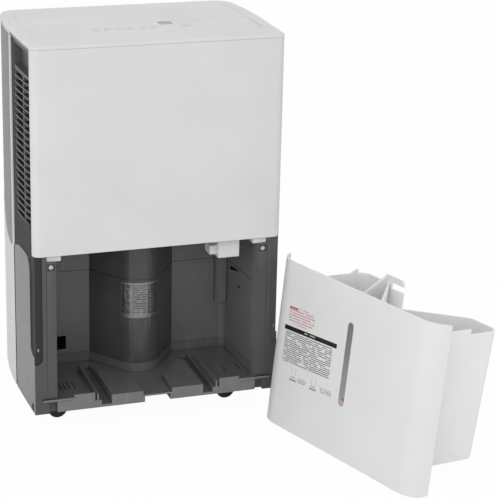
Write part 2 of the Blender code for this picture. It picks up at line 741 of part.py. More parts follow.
def rear_trim(finish):
    trim = prism("rear_trim_left", side_strip(SEAM_Y + 0.002, BACK - 0.002, 0.0007, SUNK - GAP), 0.1, 0.6, finish)
    return overlap(trim, prism("swoosh", swoosh_rear(0.0008), -1, 0, axis="X"))


def rear_grille(finish):
    half, (z0, z1) = REAR_WINDOW_HALF - GAP, REAR_WINDOW_Z
    grille = box("rear_grille", (-half, half), (BACK - SHELL_WALL, BACK - GAP), (z0 + GAP, z1 - GAP), finish)
    slots = []
    rows, columns = 15, 3
    pitch = (z1 - z0 - 2 * FILTER_WALL) / rows
    span = (2 * half - 2 * FILTER_WALL) / columns
    for row in range(rows):
        for column in range(columns):
            x = -half + FILTER_WALL + column * span
            z = z0 + FILTER_WALL + row * pitch
            slots.append(((x + 0.002, 0.1, z + 0.003), (x + span - 0.002, 0.2, z + pitch - 0.003)))
    return cut(grille, boxes("slots", slots))


def air_filter(finish):
    half = REAR_WINDOW_HALF - 0.004
    z0, z1 = REAR_WINDOW_Z[0] + 0.004, REAR_WINDOW_Z[1] - 0.004
    back = BACK - SHELL_WALL - GAP
    frame = box("air_filter", (-half, half), (back - FILTER_DEPTH, back), (z0, z1), finish)
    cells = []
    columns = 4
    span = (2 * half - FILTER_WALL) / columns
    for column in range(columns):
        x = -half + FILTER_WALL + column * span
        cells.append(((x, 0.1, z0 + FILTER_WALL), (x + span - FILTER_WALL, back - FILTER_DEPTH + 0.003, z1 - FILTER_WALL)))
    return cut(frame, boxes("cells", cells))


# ---------------------------------------------------------------------------
# Machine: inside
# ---------------------------------------------------------------------------
def drip_tray(finish):
    low, high = TRAY_Z
    tray = box("drip_tray", (-TRAY_HALF, TRAY_HALF), TRAY_Y, TRAY_Z, finish)
    wall = TRAY_FLOOR
    hollow = box("hollow", (wall - TRAY_HALF, TRAY_HALF - wall), (TRAY_Y[0] + wall, TRAY_Y[1] - wall),
                 (low + TRAY_FLOOR, high + 1))
    return cut(tray, hollow)


def coil(name, front, finish):
    """A finned heat exchanger standing in the drip tray, with its return bends at one end."""
    low = TRAY_Z[0] + TRAY_FLOOR + GAP
    count = round(2 * COIL_HALF / COIL_FIN_PITCH)
    tooth = COIL_HALF / count
    plan = []
    for step in range(count):
        x = -COIL_HALF + 2 * step * tooth
        plan += [(x, front), (x + tooth, front), (x + tooth, front + 0.003), (x + 2 * tooth, front + 0.003)]
    back = front + COIL_THICK
    body = prism(name, plan + [(COIL_HALF, back), (-COIL_HALF, back)], low, low + COIL_HEIGHT, finish)
    bends = []
    for step in range(5):
        z = low + COIL_BEND_Z + step * COIL_BEND_PITCH
        shape = capsule((front + COIL_THICK / 2, z), 0.024, 0.007, upright=True)
        bends.append(prism("bend", shape, COIL_HALF - 0.001, COIL_HALF + COIL_BEND, axis="X"))
    return join(body, *bends)


def compressor(finish):
    foot = BASE_THICK - 0.003 + GAP
    low, high = foot + 0.010, foot + 0.010 + COMPRESSOR_HEIGHT
    r, dome = COMPRESSOR_RADIUS, 0.014
    profile = [(0, low), (r * 0.6, low), (r, low + dome), (r, high - dome), (r * 0.7, high - dome * 0.25),
               (0.006, high), (0.006, COMPRESSOR_STUB), (0, COMPRESSOR_STUB)]
    can = turned("compressor", profile, finish, 32)
    feet = [
        rod("foot", p, 0.008, foot, low + dome * 0.6, steps=12)
        for p in circle((0, 0), r * 0.72, 3)
    ]
    join(can, *feet)
    return move(can, Matrix.Translation((0, COMPRESSOR_Y, 0)) @ Matrix.Rotation(math.pi / 2, 4, "Z"))


def accumulator(finish):
    x, y = ACCUMULATOR_AT
    foot = BASE_THICK - 0.003 + GAP
    low = foot + 0.018
    high = low + ACCUMULATOR_HEIGHT
    r = ACCUMULATOR_RADIUS
    profile = [(0, foot), (0.006, foot), (0.006, low), (r * 0.6, low), (r, low + 0.008), (r, high - 0.008),
               (r * 0.5, high), (0.004, high), (0.004, ACCUMULATOR_STUB), (0, ACCUMULATOR_STUB)]
    can = turned("accumulator", profile, finish)
    return move(can, Matrix.Translation((x, y, 0)))


def capacitor(finish):
    foot = BASE_THICK - 0.003 + GAP
    x, y = CAPACITOR_AT
    can = rod("capacitor", CAPACITOR_AT, CAPACITOR_RADIUS, foot, foot + CAPACITOR_HEIGHT, finish)
    tabs = boxes(
        "tabs",
        [((x + side * 0.006 - 0.003, y - 0.0005, foot + 0.05), (x + side * 0.006 + 0.003, y + 0.0005, foot + CAPACITOR_HEIGHT + 0.008))
         for side in (-1, 1)],
    )
    return join(can, tabs)


def refrigerant_tubes(finish):
    """Compressor to condenser, and evaporator to accumulator, both passing the tray on the right."""
    end = COIL_HALF + COIL_BEND + GAP
    side = TRAY_HALF + 0.013
    low = TRAY_Z[0] + TRAY_FLOOR + GAP + COIL_BEND_Z
    y, z = CONDENSER_Y + COIL_THICK / 2, low + 4 * COIL_BEND_PITCH
    start = COMPRESSOR_STUB + GAP
    pipe("discharge_tube", [
        (0, COMPRESSOR_Y, start), (0, COMPRESSOR_Y, start + 0.008), (0.010, COMPRESSOR_Y + 0.014, start + 0.020),
        (0.050, 0.052, start + 0.024), (side - 0.012, 0.060, start + 0.026), (side, y, TRAY_Z[1]),
        (side, y, z - 0.020), (side - 0.007, y, z), (end, y, z),
    ], TUBE_RADIUS, finish)
    y = EVAPORATOR_Y + COIL_THICK / 2
    can_x, can_y = ACCUMULATOR_AT
    pipe("suction_tube", [
        (end, y, low), (side - 0.007, y, low), (side, y, low - 0.012), (side, y, TRAY_Z[0] - 0.020),
        (side - 0.020, can_y + 0.010, 0.170), (can_x + 0.010, can_y, 0.150), (can_x, can_y, ACCUMULATOR_STUB + 0.014),
        (can_x, can_y, ACCUMULATOR_STUB + GAP),
    ], TUBE_RADIUS, finish)


def control_board(finish):
    board = box("control_board", BOARD_X, BOARD_Y, (BOARD_TOP - BOARD_THICK, BOARD_TOP), finish)
    chip = box("chip", (-0.02, 0.01), (-0.03, -0.012), (BOARD_TOP - 0.008, BOARD_TOP - BOARD_THICK / 2))
    return join(board, chip)


def scroll_outline(inset):
    """The blower casing across the shaft: a drum that runs into a duct on its left."""
    radius = SCROLL_RADIUS - inset
    low = DUCT_LOW + inset
    left = SCROLL_WALL - inset - half_width(0) + POCKET_DEPTH + 0.006
    end = 180 - math.degrees(math.asin(low / radius))
    drum = arc((0, FAN_Z), radius, 90, end - 360, 30)
    return [(left, FAN_Z + radius)] + drum + [(left, FAN_Z + low)]


def fan_scroll(finish):
    """The blower's casing, with its outlet towards the left louvres, on two legs in the tray."""
    front, back = FAN_Y
    wall = SCROLL_WALL
    drum = prism("fan_scroll", scroll_outline(0), front, back, finish, "Y")
    leg_low = TRAY_Z[0] + TRAY_FLOOR + GAP
    legs = boxes("legs", [
        ((side * 0.055 - 0.006, front + 0.001, leg_low), (side * 0.055 + 0.006, back - 0.001, FAN_Z - 0.088))
        for side in (-1, 1)
    ])
    join(drum, legs)
    room = prism("room", scroll_outline(wall), front + wall, back - wall, axis="Y")
    outlet = box("outlet", (-1, -SCROLL_RADIUS - 0.02), (front + wall, back - wall),
                 (FAN_Z + DUCT_LOW + wall, FAN_Z + SCROLL_RADIUS - wall))
    inlet = rod("inlet", (0, FAN_Z), INLET_RADIUS, back - 0.01, 1, axis="Y", steps=32)
    bearing = rod("bearing", (0, FAN_Z), SHAFT_RADIUS + 0.001, -1, front + 0.01, axis="Y", steps=16)
    return cut(drum, join(room, outlet), inlet, bearing)


def fan_motor(finish):
    seat_y = FAN_Y[0] - GAP
    motor = rod("fan_motor", (0, FAN_Z), MOTOR_RADIUS, FRONT + PANEL_WALL + 0.002, seat_y, finish, "Y")
    return join(motor, rod("shaft", (0, FAN_Z), SHAFT_RADIUS, seat_y - 0.004, FAN_Y[1] - 0.012, axis="Y", steps=16))


def blower_wheel(finish):
    """A backward-curved wheel on the motor's shaft, modelled round its own axle line."""
    front = FAN_Y[0] + SCROLL_WALL + 0.003
    back = FAN_Y[1] - SCROLL_WALL - 0.004
    inner = WHEEL_RADIUS - 0.016
    wheel = rod("blower_wheel", (0, 0), WHEEL_RADIUS, front, front + 0.002, finish, "Y", 40)
    blades = bmesh.new()
    for step in range(BLADE_COUNT):
        angle = math.tau * step / BLADE_COUNT
        size = Matrix.Diagonal((0.013, back - front - 0.002, 0.0014, 1))
        middle = Matrix.Translation(((inner + WHEEL_RADIUS) / 2, (front + back) / 2, 0))
        bmesh.ops.create_cube(blades, size=1, matrix=Matrix.Rotation(angle, 4, "Y") @ middle @ Matrix.Rotation(0.35, 4, "Y") @ size)
    hub = rod("hub", (0, 0), 0.012, front, back - 0.020, axis="Y")
    hoop = rod("hoop", (0, 0), WHEEL_RADIUS, back - 0.004, back, axis="Y", steps=40)
    cut(hoop, rod("hole", (0, 0), inner, -1, 1, axis="Y", steps=40))
    join(wheel, solid("blades", blades), hub, hoop)
    cut(wheel, rod("bore", (0, 0), SHAFT_RADIUS + GAP, -1, 1, axis="Y", steps=16))
    return seat(wheel, at=(0, 0, FAN_Z))


def pump_housing(finish):
    z0, z1 = 0.222, TRAY_Z[0] - GAP
    body = box("pump_housing", (0.099, 0.133), (-0.120, -0.062), (z0, z1), finish)
    nub = box("nub", (0.088, 0.100), (-0.112, -0.088), (z0 + 0.004, z0 + 0.018))
    return join(body, nub, rod("sensor", (0.112, -0.104), 0.006, z0 - 0.004, z0 + 0.001, steps=16))


def hose_duct(finish):
    """The cover of the pump's hose, filling the bay's back right corner."""
    corner = (BAY_HALF - BAY_CORNER, BAY_BACK - BAY_CORNER)
    face, side = BAY_BACK - GAP, BAY_HALF - GAP
    left = BAY_HALF - 0.0175
    plan = [(left, face), (left, face - 0.006), (left + 0.005, face - 0.013), (side, face - 0.013)]
    return prism("hose_duct", plan + arc(corner, BAY_CORNER - GAP, 0, 90, 4), 0.095, LINER_TOP, finish)


def rating_label(finish):
    outer, inner = column_path(GAP + 0.0006)[1:-1], column_path(GAP)[1:-1]
    return prism("rating_label", outer + inner[::-1], 0.106, 0.165, finish)


def spout(name, at, radius, bore, length, finish):
    """A hose spout through the rear shell, with a flange inside it."""
    inside = BACK - SHELL_WALL - GAP
    made = rod(name, at, radius + 0.004, inside - 0.003, inside, finish, "Y")
    join(made, rod("neck", at, radius, inside - 0.001, BACK + length, axis="Y"))
    return cut(made, rod("bore", at, bore, 0, 1, axis="Y"))


def drain_cap(finish):
    outer = DRAIN_RADIUS + GAP + CAP_WALL
    floor = BACK + DRAIN_LENGTH + GAP
    cap = rod("drain_cap", (0, 0), outer, GAP - DRAIN_LENGTH + 0.001, CAP_WALL + GAP, finish, "Y")
    cut(cap, rod("hollow", (0, 0), DRAIN_RADIUS + GAP, -1, GAP, axis="Y"))
    return seat(cap, at=(DRAIN_AT[0], floor - GAP, DRAIN_AT[1]))


def cord_gland(finish):
    inside = BACK - SHELL_WALL - GAP
    made = rod("cord_gland", GLAND_AT, GLAND_RADIUS + 0.003, inside - 0.003, inside, finish, "Y")
    join(made, rod("neck", GLAND_AT, GLAND_RADIUS, inside - 0.001, BACK + 0.004, axis="Y"))
    return cut(made, rod("bore", GLAND_AT, 0.0045, 0, 1, axis="Y", steps=16))


# ---------------------------------------------------------------------------
# Castors
# ---------------------------------------------------------------------------
def castor(name, at, finishes):
    """Fork, axle and wheel under an empty on the swivel axis; the wheel trails to the left."""
    swivel = frame_at(f"castor_{name}", (*at, 0))
    middle = CASTOR_WHEEL - CASTOR_DROP
    half = CASTOR_WIDTH / 2
    cheek = half + 0.001
    fork = box(f"castor_fork_{name}", (-CASTOR_TRAIL - 0.006, 0.007), (-cheek - 0.002, cheek + 0.002),
               (-0.0045, -0.0006), finishes["fork"])
    legs = boxes("legs", [
        ((-CASTOR_TRAIL - 0.005, side * (cheek + 0.001) - 0.001, middle - 0.004),
         (-CASTOR_TRAIL + 0.005, side * (cheek + 0.001) + 0.001, -0.003))
        for side in (-1, 1)
    ])
    join(fork, legs, rod("stem", (0, 0), CASTOR_STEM, -0.001, STEM_TOP, steps=16))
    cut(fork, rod("hole", (-CASTOR_TRAIL, middle), AXLE_RADIUS + GAP, -1, 1, axis="Y", steps=12))
    seat(fork, swivel)
    hub = frame_at(f"castor_hub_{name}", (-CASTOR_TRAIL, 0, middle), parent=swivel)
    reach = cheek + 0.0025
    axle = rod(f"castor_axle_{name}", (0, 0), AXLE_RADIUS, -reach, reach, finishes["axle"], "Y", 12)
    seat(axle, hub)
    r = CASTOR_WHEEL
    tyre = [(half - 0.002, 0), (half, 0.002)]
    profile = [(AXLE_RADIUS + GAP, -half), (r - tyre[1][1], -half), (r, -half + 0.002), (r, half - 0.002),
               (r - 0.002, half), (AXLE_RADIUS + GAP, half)]
    wheel = turned(f"castor_wheel_{name}", profile, finishes["wheel"], 28)
    move(wheel, Matrix.Rotation(math.pi / 2, 4, "X"))
    seat(wheel, hub)


# ---------------------------------------------------------------------------
# Bucket, in its own frame
# ---------------------------------------------------------------------------
def cover_path(inset):
    """Half of the cover in plan, from the middle of its front to the end of its rounded side."""
    centre = (COVER_RADIUS - COVER_WIDTH / 2, COVER_RADIUS)
    end = 180 + math.degrees(math.asin(1 - COVER_WRAP / COVER_RADIUS))
    return [(0.0, inset)] + arc(centre, COVER_RADIUS - inset, 270, end, 10)


def bucket_cover(finish):
    a, b = cover_path(0), cover_path(COVER_WALL)
    plan = mirrored(a)[:0:-1] + a + b[:0:-1] + mirrored(b)
    cover = prism("bucket_cover", plan, 0, COVER_HEIGHT, finish)
    slot = prism("slot", capsule((WINDOW_X, sum(WINDOW_Z) / 2), WINDOW_Z[1] - WINDOW_Z[0], WINDOW_WIDTH, True), -1, 1, axis="Y")
    lift = prism("lift", [(HEEL_Y, 0), (HEEL_Y, -1), (1, -1), (1, 0.01), (COVER_WRAP + 0.01, 0.010)], -1, 1, axis="X")
    return cut(cover, slot, lift)


def level_window(finish):
    shape = capsule((WINDOW_X, sum(WINDOW_Z) / 2), WINDOW_Z[1] - WINDOW_Z[0] - 2 * GAP, WINDOW_WIDTH - 2 * GAP, True)
    return prism("level_window", shape, 0.0008, COVER_WALL, finish, "Y")


def tub_plan():
    """The tub's rim in plan, anticlockwise, with the recess that clears the compressor column."""
    front = COVER_WALL + GAP
    left = [(0.0, front)]
    left += arc((0.015 - TUB_HALF, front + 0.015), 0.015, 270, 180, 4)
    left += arc((TUB_CORNER - TUB_HALF, TUB_DEPTH - TUB_CORNER), TUB_CORNER, 180, 90, 5)
    left += [(-LOBE_INNER, TUB_DEPTH), (-RECESS_HALF, RECESS_Y)]
    # Anticlockwise runs from the front to the right, so this clockwise half is turned round.
    return mirrored(left) + left[:0:-1]


def drafted(points):
    return [(x * TUB_DRAFT, COVER_WALL + GAP + (y - COVER_WALL - GAP) * (1 + TUB_DRAFT) / 2) for x, y in points]


def bucket_tub(finish):
    rim = tub_plan()
    tub = tapered("bucket_tub", drafted(rim), rim, TUB_BOTTOM, TUB_RIM, finish)
    inner = inset_polygon(rim, TUB_WALL)
    hollow = tapered("hollow", drafted(inner), inner, TUB_BOTTOM + TUB_WALL, TUB_RIM + 0.0005)
    cut(tub, hollow)
    slope = (RUNNER_END - HEEL_Y) * math.tan(BUCKET_LEAN)
    runners = boxes("runners", [
        ((side * CHANNEL_X - RUNNER_WIDTH / 2, 0.030, slope), (side * CHANNEL_X + RUNNER_WIDTH / 2, RUNNER_END, TUB_BOTTOM + 0.001))
        for side in (-1, 1)
    ])
    pin_y, pin_z = FLOAT_PIN
    lugs = boxes("lugs", [
        ((x, COVER_WALL + 0.002, pin_z - 0.006), (x + 0.003, pin_y + 0.004, pin_z + 0.006))
        for x in (FLOAT_X[0] - 0.0045, FLOAT_X[1] + 0.0015)
    ])
    join(tub, runners, lugs, tub_grip())
    return cut(tub, rod("hole", FLOAT_PIN, 0.0015 + GAP, FLOAT_X[0] - 0.01, FLOAT_X[1] + 0.01, axis="X", steps=12))


def tub_grip():
    """A raised grip at the rear of the left lobe: a round-shouldered plate with a notch, and the web that props it."""
    left, right = -GRIP_LEFT, -GRIP_RIGHT
    top = TUB_RIM + GRIP_RISE
    shoulder = arc((right - 0.009, top - 0.009), 0.009, 90, 0, 5)
    notch = [(right, top - 0.0095), (right - 0.0275, top - 0.0095), (right - 0.0275, top - 0.019), (right, top - 0.019)]
    low = TUB_RIM - 0.06
    shape = [(left, low), (left, top)] + shoulder + notch + [(right, low)]
    plate = prism("grip", shape, TUB_DEPTH - TUB_WALL, TUB_DEPTH, axis="Y")
    web = prism("web", [(0.1, low + 0.02), (TUB_DEPTH - 0.001, low), (TUB_DEPTH - 0.001, top), (0.1, top - 0.033)],
                left, left + 0.004, axis="X")
    step = box("step", (TUB_HALF - TUB_WALL, TUB_HALF), (0.022, STEP_END), (TUB_RIM - 0.01, TUB_RIM + STEP_RISE))
    peak = prism("peak", [(0.128, TUB_RIM - 0.01), (0.142, TUB_RIM - 0.01), (0.142, TUB_RIM + 0.006), (0.138, TUB_RIM + 0.006),
                          (0.128, TUB_RIM)], -TUB_HALF, TUB_WALL - TUB_HALF, axis="X")
    return join(plate, web, step, peak)


def bucket_float(finish):
    pin_y, pin_z = FLOAT_PIN
    x0, x1 = FLOAT_X
    middle = (x0 + x1) / 2
    body = box("bucket_float", (x0 + 0.001, x1 - 0.001), (0.010, FLOAT_REACH - pin_y), (-FLOAT_THICK + 0.004, 0.004), finish)
    arm = box("arm", (middle - 0.005, middle + 0.005), (0, 0.012), (-0.002, 0.002))
    pin = rod("pin", (0, 0), 0.0015, x0 - 0.004, x1 + 0.004, axis="X", steps=12)
    join(body, arm, pin)
    return seat(body, at=(0, pin_y, pin_z))


def bucket(white, smoke, float_finish):
    heel = HEEL_Y * math.sin(BUCKET_LEAN)
    frame = frame_at("bucket", (*BUCKET_AT, heel - CASTOR_DROP), (-BUCKET_LEAN, 0, BUCKET_TURN))
    for piece in (bucket_cover(white), bucket_tub(white), level_window(smoke), bucket_float(float_finish)):
        piece.parent = frame


# ---------------------------------------------------------------------------
# Everything
# ---------------------------------------------------------------------------
def shade(obj):
    """Round faces smooth, edges over 30 degrees sharp."""
    if obj.type == "MESH":
        obj.data.shade_smooth()
        obj.data.set_sharp_from_angle(angle=math.radians(30))


def main():
    for old in list(bpy.data.objects):
        bpy.data.objects.remove(old)
    white = material("white_abs", 0xD6D6D6, 0.45)
    bucket_white = material("white_pp", 0xDCDCDC, 0.5)
    dark = material("grey_abs", 0x555759, 0.5)
    black = material("black_nylon", 0x2B2B2D, 0.5)
    smoke = material("smoked_window", 0x55585C, 0.25)
    steel = material("zinc_steel", 0xB8BABC, 0.35, 1.0)
    copper = material("copper", 0xB4703E, 0.3, 1.0)
    aluminium = material("aluminium_fin", 0xC2C5C8, 0.4, 1.0)
    enamel = material("black_enamel", 0x1D1D1F, 0.4)
    board_green = material("board_green", 0x1E5B3A, 0.5)
    silver = material("silver_label", 0xB5B5B5, 0.35, 0.6)
    foam = material("float_foam", 0xE6E2D8, 0.8)
    grey_trim = material("mid_grey_abs", 0x9A9C9E, 0.5)

    base_pan(dark)
    bay_liner(dark)
    for maker, name, finish in (
        (side_frame, "side_frame_right", dark),
        (louvre_insert, "louvre_right", dark),
        (rear_trim, "rear_trim_right", grey_trim),
        (panel_clip, "panel_clip_right", white),
        (screw, "screw_right", steel),
    ):
        mirror_copy(maker(finish), name)
    front_panel(white)
    top_cover(white)
    control_keys(grey_trim)
    display_window(smoke)
    rear_shell(white)
    rear_grille(white)
    air_filter(black)

    drip_tray(white)
    coil("evaporator_coil", EVAPORATOR_Y, aluminium)
    coil("condenser_coil", CONDENSER_Y, aluminium)
    compressor(enamel)
    accumulator(enamel)
    capacitor(aluminium)
    refrigerant_tubes(copper)
    control_board(board_green)
    fan_scroll(white)
    fan_motor(steel)
    blower_wheel(black)
    pump_housing(white)
    hose_duct(dark)
    rating_label(silver)
    spout("drain_outlet", DRAIN_AT, DRAIN_RADIUS, DRAIN_BORE, DRAIN_LENGTH, white)
    drain_cap(dark)
    spout("pump_outlet", PUMP_OUTLET_AT, PUMP_OUTLET_RADIUS, PUMP_OUTLET_BORE, PUMP_OUTLET_LENGTH, white)
    cord_gland(black)

    finishes = {"fork": black, "axle": steel, "wheel": black}
    for side, x in (("left", -CASTOR_X), ("right", CASTOR_X)):
        for end, y in zip(("front", "back"), CASTOR_Y):
            castor(f"{end}_{side}", (x, y), finishes)
    bucket(bucket_white, smoke, foam)
    for obj in bpy.data.objects:
        shade(obj)


main()
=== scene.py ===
# %% [markdown]
# # An upright dehumidifier with its water bucket taken out
#
# The machine is a tall plastic box on four castors. A white front panel hangs over an open bay, and
# the water bucket that fills the bay stands beside it. The solids come from the CAD frame, already
# in place and in metres. This script gives them soft edges, real finishes and the small printed and
# moulded details that a CAD solid leaves out, then lights them as in a plain studio.

import json
import math

import bmesh
import bpy
from mathutils import Matrix, Vector

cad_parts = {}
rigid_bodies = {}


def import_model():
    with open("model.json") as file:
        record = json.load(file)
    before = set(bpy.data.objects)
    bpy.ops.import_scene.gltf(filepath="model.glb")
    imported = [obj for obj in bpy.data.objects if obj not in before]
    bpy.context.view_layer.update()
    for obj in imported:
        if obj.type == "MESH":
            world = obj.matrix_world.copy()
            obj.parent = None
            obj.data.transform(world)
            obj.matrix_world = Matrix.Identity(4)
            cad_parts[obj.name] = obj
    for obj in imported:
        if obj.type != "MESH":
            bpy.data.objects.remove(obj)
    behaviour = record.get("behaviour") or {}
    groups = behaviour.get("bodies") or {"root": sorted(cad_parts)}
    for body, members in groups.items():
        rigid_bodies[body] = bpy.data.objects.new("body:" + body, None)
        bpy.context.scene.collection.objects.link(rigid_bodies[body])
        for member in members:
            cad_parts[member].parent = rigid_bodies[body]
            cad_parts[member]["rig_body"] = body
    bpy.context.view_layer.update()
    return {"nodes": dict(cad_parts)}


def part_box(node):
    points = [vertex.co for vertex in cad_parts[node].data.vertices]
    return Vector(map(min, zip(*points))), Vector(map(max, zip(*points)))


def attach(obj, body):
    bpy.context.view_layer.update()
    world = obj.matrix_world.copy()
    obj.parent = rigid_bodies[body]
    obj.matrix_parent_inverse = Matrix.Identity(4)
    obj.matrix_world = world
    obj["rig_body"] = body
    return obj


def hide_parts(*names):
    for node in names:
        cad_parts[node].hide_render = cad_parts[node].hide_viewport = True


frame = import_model()
nodes = frame["nodes"]
floor_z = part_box("castor_wheel_front_left")[0].z


def linked(name, data):
    """An object that holds this data, put into the scene."""
    made = bpy.data.objects.new(name, data)
    bpy.context.scene.collection.objects.link(made)
    return made


# %% [markdown]
# ## The camera
#
# Appliances are usually shown from far away through a long lens, so that the upright edges stay
# nearly parallel. The camera stands 2.7 m in front and a little to the left, at about twice
# the machine's height, and looks down on it. It is placed by three directions: where it looks,
# what lies to its right, and what lies above. That is easier to read than three angles.

# %% Camera
camera_place = Vector((-0.75431, -2.67370, floor_z + 1.2148))
look = Vector((0.31452532, 0.88988736, -0.33041))
right = Vector((0.94523514, -0.32556718, 0.02294))
up = right.cross(look)
lens = bpy.data.cameras.new("camera")
lens.sensor_fit = "VERTICAL"
lens.sensor_height = 36
lens.lens = 133.65
camera = linked("camera", lens)
turn = Matrix((right, up, -look)).transposed().to_4x4()
camera.matrix_world = Matrix.Translation(camera_place) @ turn
bpy.context.scene.camera = camera

# %% [markdown]
# ## Colour and node helpers
#
# Colours are given as sRGB hex values, as on a screen, but shaders work with linear light. One
# function turns the first into the second. Another adds a shader node, sets its fields and links
# its inputs in one call, so that each material below reads as a short recipe.

# %% Helpers for materials
def linear(colour):
    """An sRGB hex number as linear RGBA."""
    parts = [(colour >> shift & 255) / 255 for shift in (16, 8, 0)]
    return (*[c / 12.92 if c <= 0.04045 else ((c + 0.055) / 1.055) ** 2.4 for c in parts], 1.0)


def add(tree, kind, fields=None, **inputs):
    """A node of this kind. An input is named after its socket, or i0, i1 and so on by its number.
    A value that is itself a socket is linked, and any other value is set."""
    node = tree.nodes.new(kind)
    for key, value in (fields or {}).items():
        setattr(node, key, value)
    for key, value in inputs.items():
        numbered = key[0] == "i" and key[1:].isdigit()
        socket = node.inputs[int(key[1:]) if numbered else key.replace("_", " ")]
        if isinstance(value, bpy.types.NodeSocket):
            tree.links.new(value, socket)
        else:
            socket.default_value = value
    return node


def fresh(name, roughness, metallic=0.0, ior=1.5):
    """A material with one Principled shader, its tree, and Object coordinates."""
    made = bpy.data.materials.new(name)
    made.use_nodes = True
    tree = made.node_tree
    shader = tree.nodes["Principled BSDF"]
    shader.inputs["Roughness"].default_value = roughness
    shader.inputs["Metallic"].default_value = metallic
    if not metallic:
        shader.inputs["IOR"].default_value = ior
    where = add(tree, "ShaderNodeTexCoord").outputs["Object"]
    return made, tree, shader, where


def mottled(tree, shader, where, dark, light, size):
    """Drives the base colour between two close tones with soft blotches of this size in metres."""
    noise = add(tree, "ShaderNodeTexNoise", Vector=where, Scale=1 / size, Detail=2.0)
    ramp = add(tree, "ShaderNodeValToRGB", Fac=noise.outputs["Fac"])
    dark_end, light_end = ramp.color_ramp.elements
    dark_end.position, dark_end.color = 0.25, linear(dark)
    light_end.position, light_end.color = 0.75, linear(light)
    tree.links.new(ramp.outputs["Color"], shader.inputs["Base Color"])
    return ramp


def grained(tree, shader, where, size, depth):
    """A moulded grain: bumps of this size and depth, in metres, in the surface's normal."""
    noise = add(tree, "ShaderNodeTexNoise", Vector=where, Scale=1 / size, Detail=3.0)
    bump = add(tree, "ShaderNodeBump", Height=noise.outputs["Fac"], Distance=depth, Strength=1.0)
    tree.links.new(bump.outputs["Normal"], shader.inputs["Normal"])


print("helpers ready; mid grey is", round(linear(0x808080)[0], 3))

# %% [markdown]
# ## White plastics
#
# The casing is white ABS, moulded in steel that was spark-eroded to a fine, even grain, so it has
# a soft sheen and no sharp reflections. The bucket is polypropylene, a waxier plastic that is
# slightly brighter and lets a little light into itself. Real grain is about 0.1 mm across, too fine
# to show here, so it is drawn near 1 mm with very little depth.

# %% White plastics
def eroded(name):
    """The casing's white ABS: the material, its tree, shader and coordinates, and its colour."""
    made, tree, shader, where = fresh(name, 0.42, ior=1.52)
    ramp = mottled(tree, shader, where, 0xD2D2D2, 0xD9D9D9, 0.12)
    grained(tree, shader, where, 0.0011, 0.00003)
    return made, tree, shader, where, ramp


def waxy(name, dark, light):
    """The bucket's polypropylene, given in the same five parts."""
    made, tree, shader, where = fresh(name, 0.40, ior=1.49)
    ramp = mottled(tree, shader, where, dark, light, 0.10)
    grained(tree, shader, where, 0.0014, 0.00002)
    shader.inputs["Subsurface Weight"].default_value = 0.12
    shader.inputs["Subsurface Radius"].default_value = (1.0, 1.0, 1.0)
    shader.inputs["Subsurface Scale"].default_value = 0.002
    return made, tree, shader, where, ramp


white_abs = eroded("white_abs_spark_eroded")[0]
white_pp = waxy("white_polypropylene", 0xEBEBEB, 0xF0F0F0)[0]
print("white finishes:", white_abs.name, white_pp.name)

# %% [markdown]
# ## Grey plastics
#
# The frame, the bay and the louvres are moulded in a dark, slightly warm grey ABS. Its outer faces
# are satin, so at a low angle they mirror the bright room and look far lighter than they are. The
# sunk panel in the side is etched matte, which keeps it dark from every angle; the same near-black
# is painted as shade into the rear seam's groove and between the slats. The louvres differ a little
# in tone and sheen, as parts from different moulds do. The pillars' fronts are rougher, and a
# darker copy of the side's grey as painted shade; the hand pockets are set darker than the louvres.
# The same grey lines the bay, rubbed by the bucket, with painted shade that darkens its corners.
# Its column is a darker copy, painted shade, and the base pan's front a lighter one, painted light.

# %% Grey plastics
def grey_plastic(name, dark, light, roughness, grain=0.0009):
    """Moulded plastic between two close tones, with a fine grain."""
    made, tree, shader, where = fresh(name, roughness, ior=1.5)
    mottled(tree, shader, where, dark, light, 0.05)
    grained(tree, shader, where, grain, 0.00003)
    return made


grey_satin = grey_plastic("grey_abs_satin", 0x6A6A6B, 0x707071, 0.26)
# Painted shade: the pillars' fronts are a darker copy of the side frames' satin grey.
grey_pillar_shaded = grey_plastic("grey_abs_pillar_shaded", 0x484849, 0x4E4E4F, 0.40)
# The etched near-black is also painted as shade into the rear seam's groove and between the slats.
grey_etched_and_shade = grey_plastic("grey_abs_etched_and_shade", 0x1E1E1F, 0x232324, 0.66)
grey_trim = grey_plastic("mid_grey_abs", 0x77787A, 0x7E7F81, 0.38)
louvre_grey = grey_plastic("grey_abs_louvre", 0x606061, 0x686869, 0.36)
pocket_grey = grey_plastic("grey_abs_pocket", 0x4C4C4D, 0x545455, 0.40)
RUB_MARKS = (700.0, 700.0, 25.0)  # marks to a metre: close together sideways, long upwards
CORNER_REACH = 0.006  # how far from a corner it is still dark


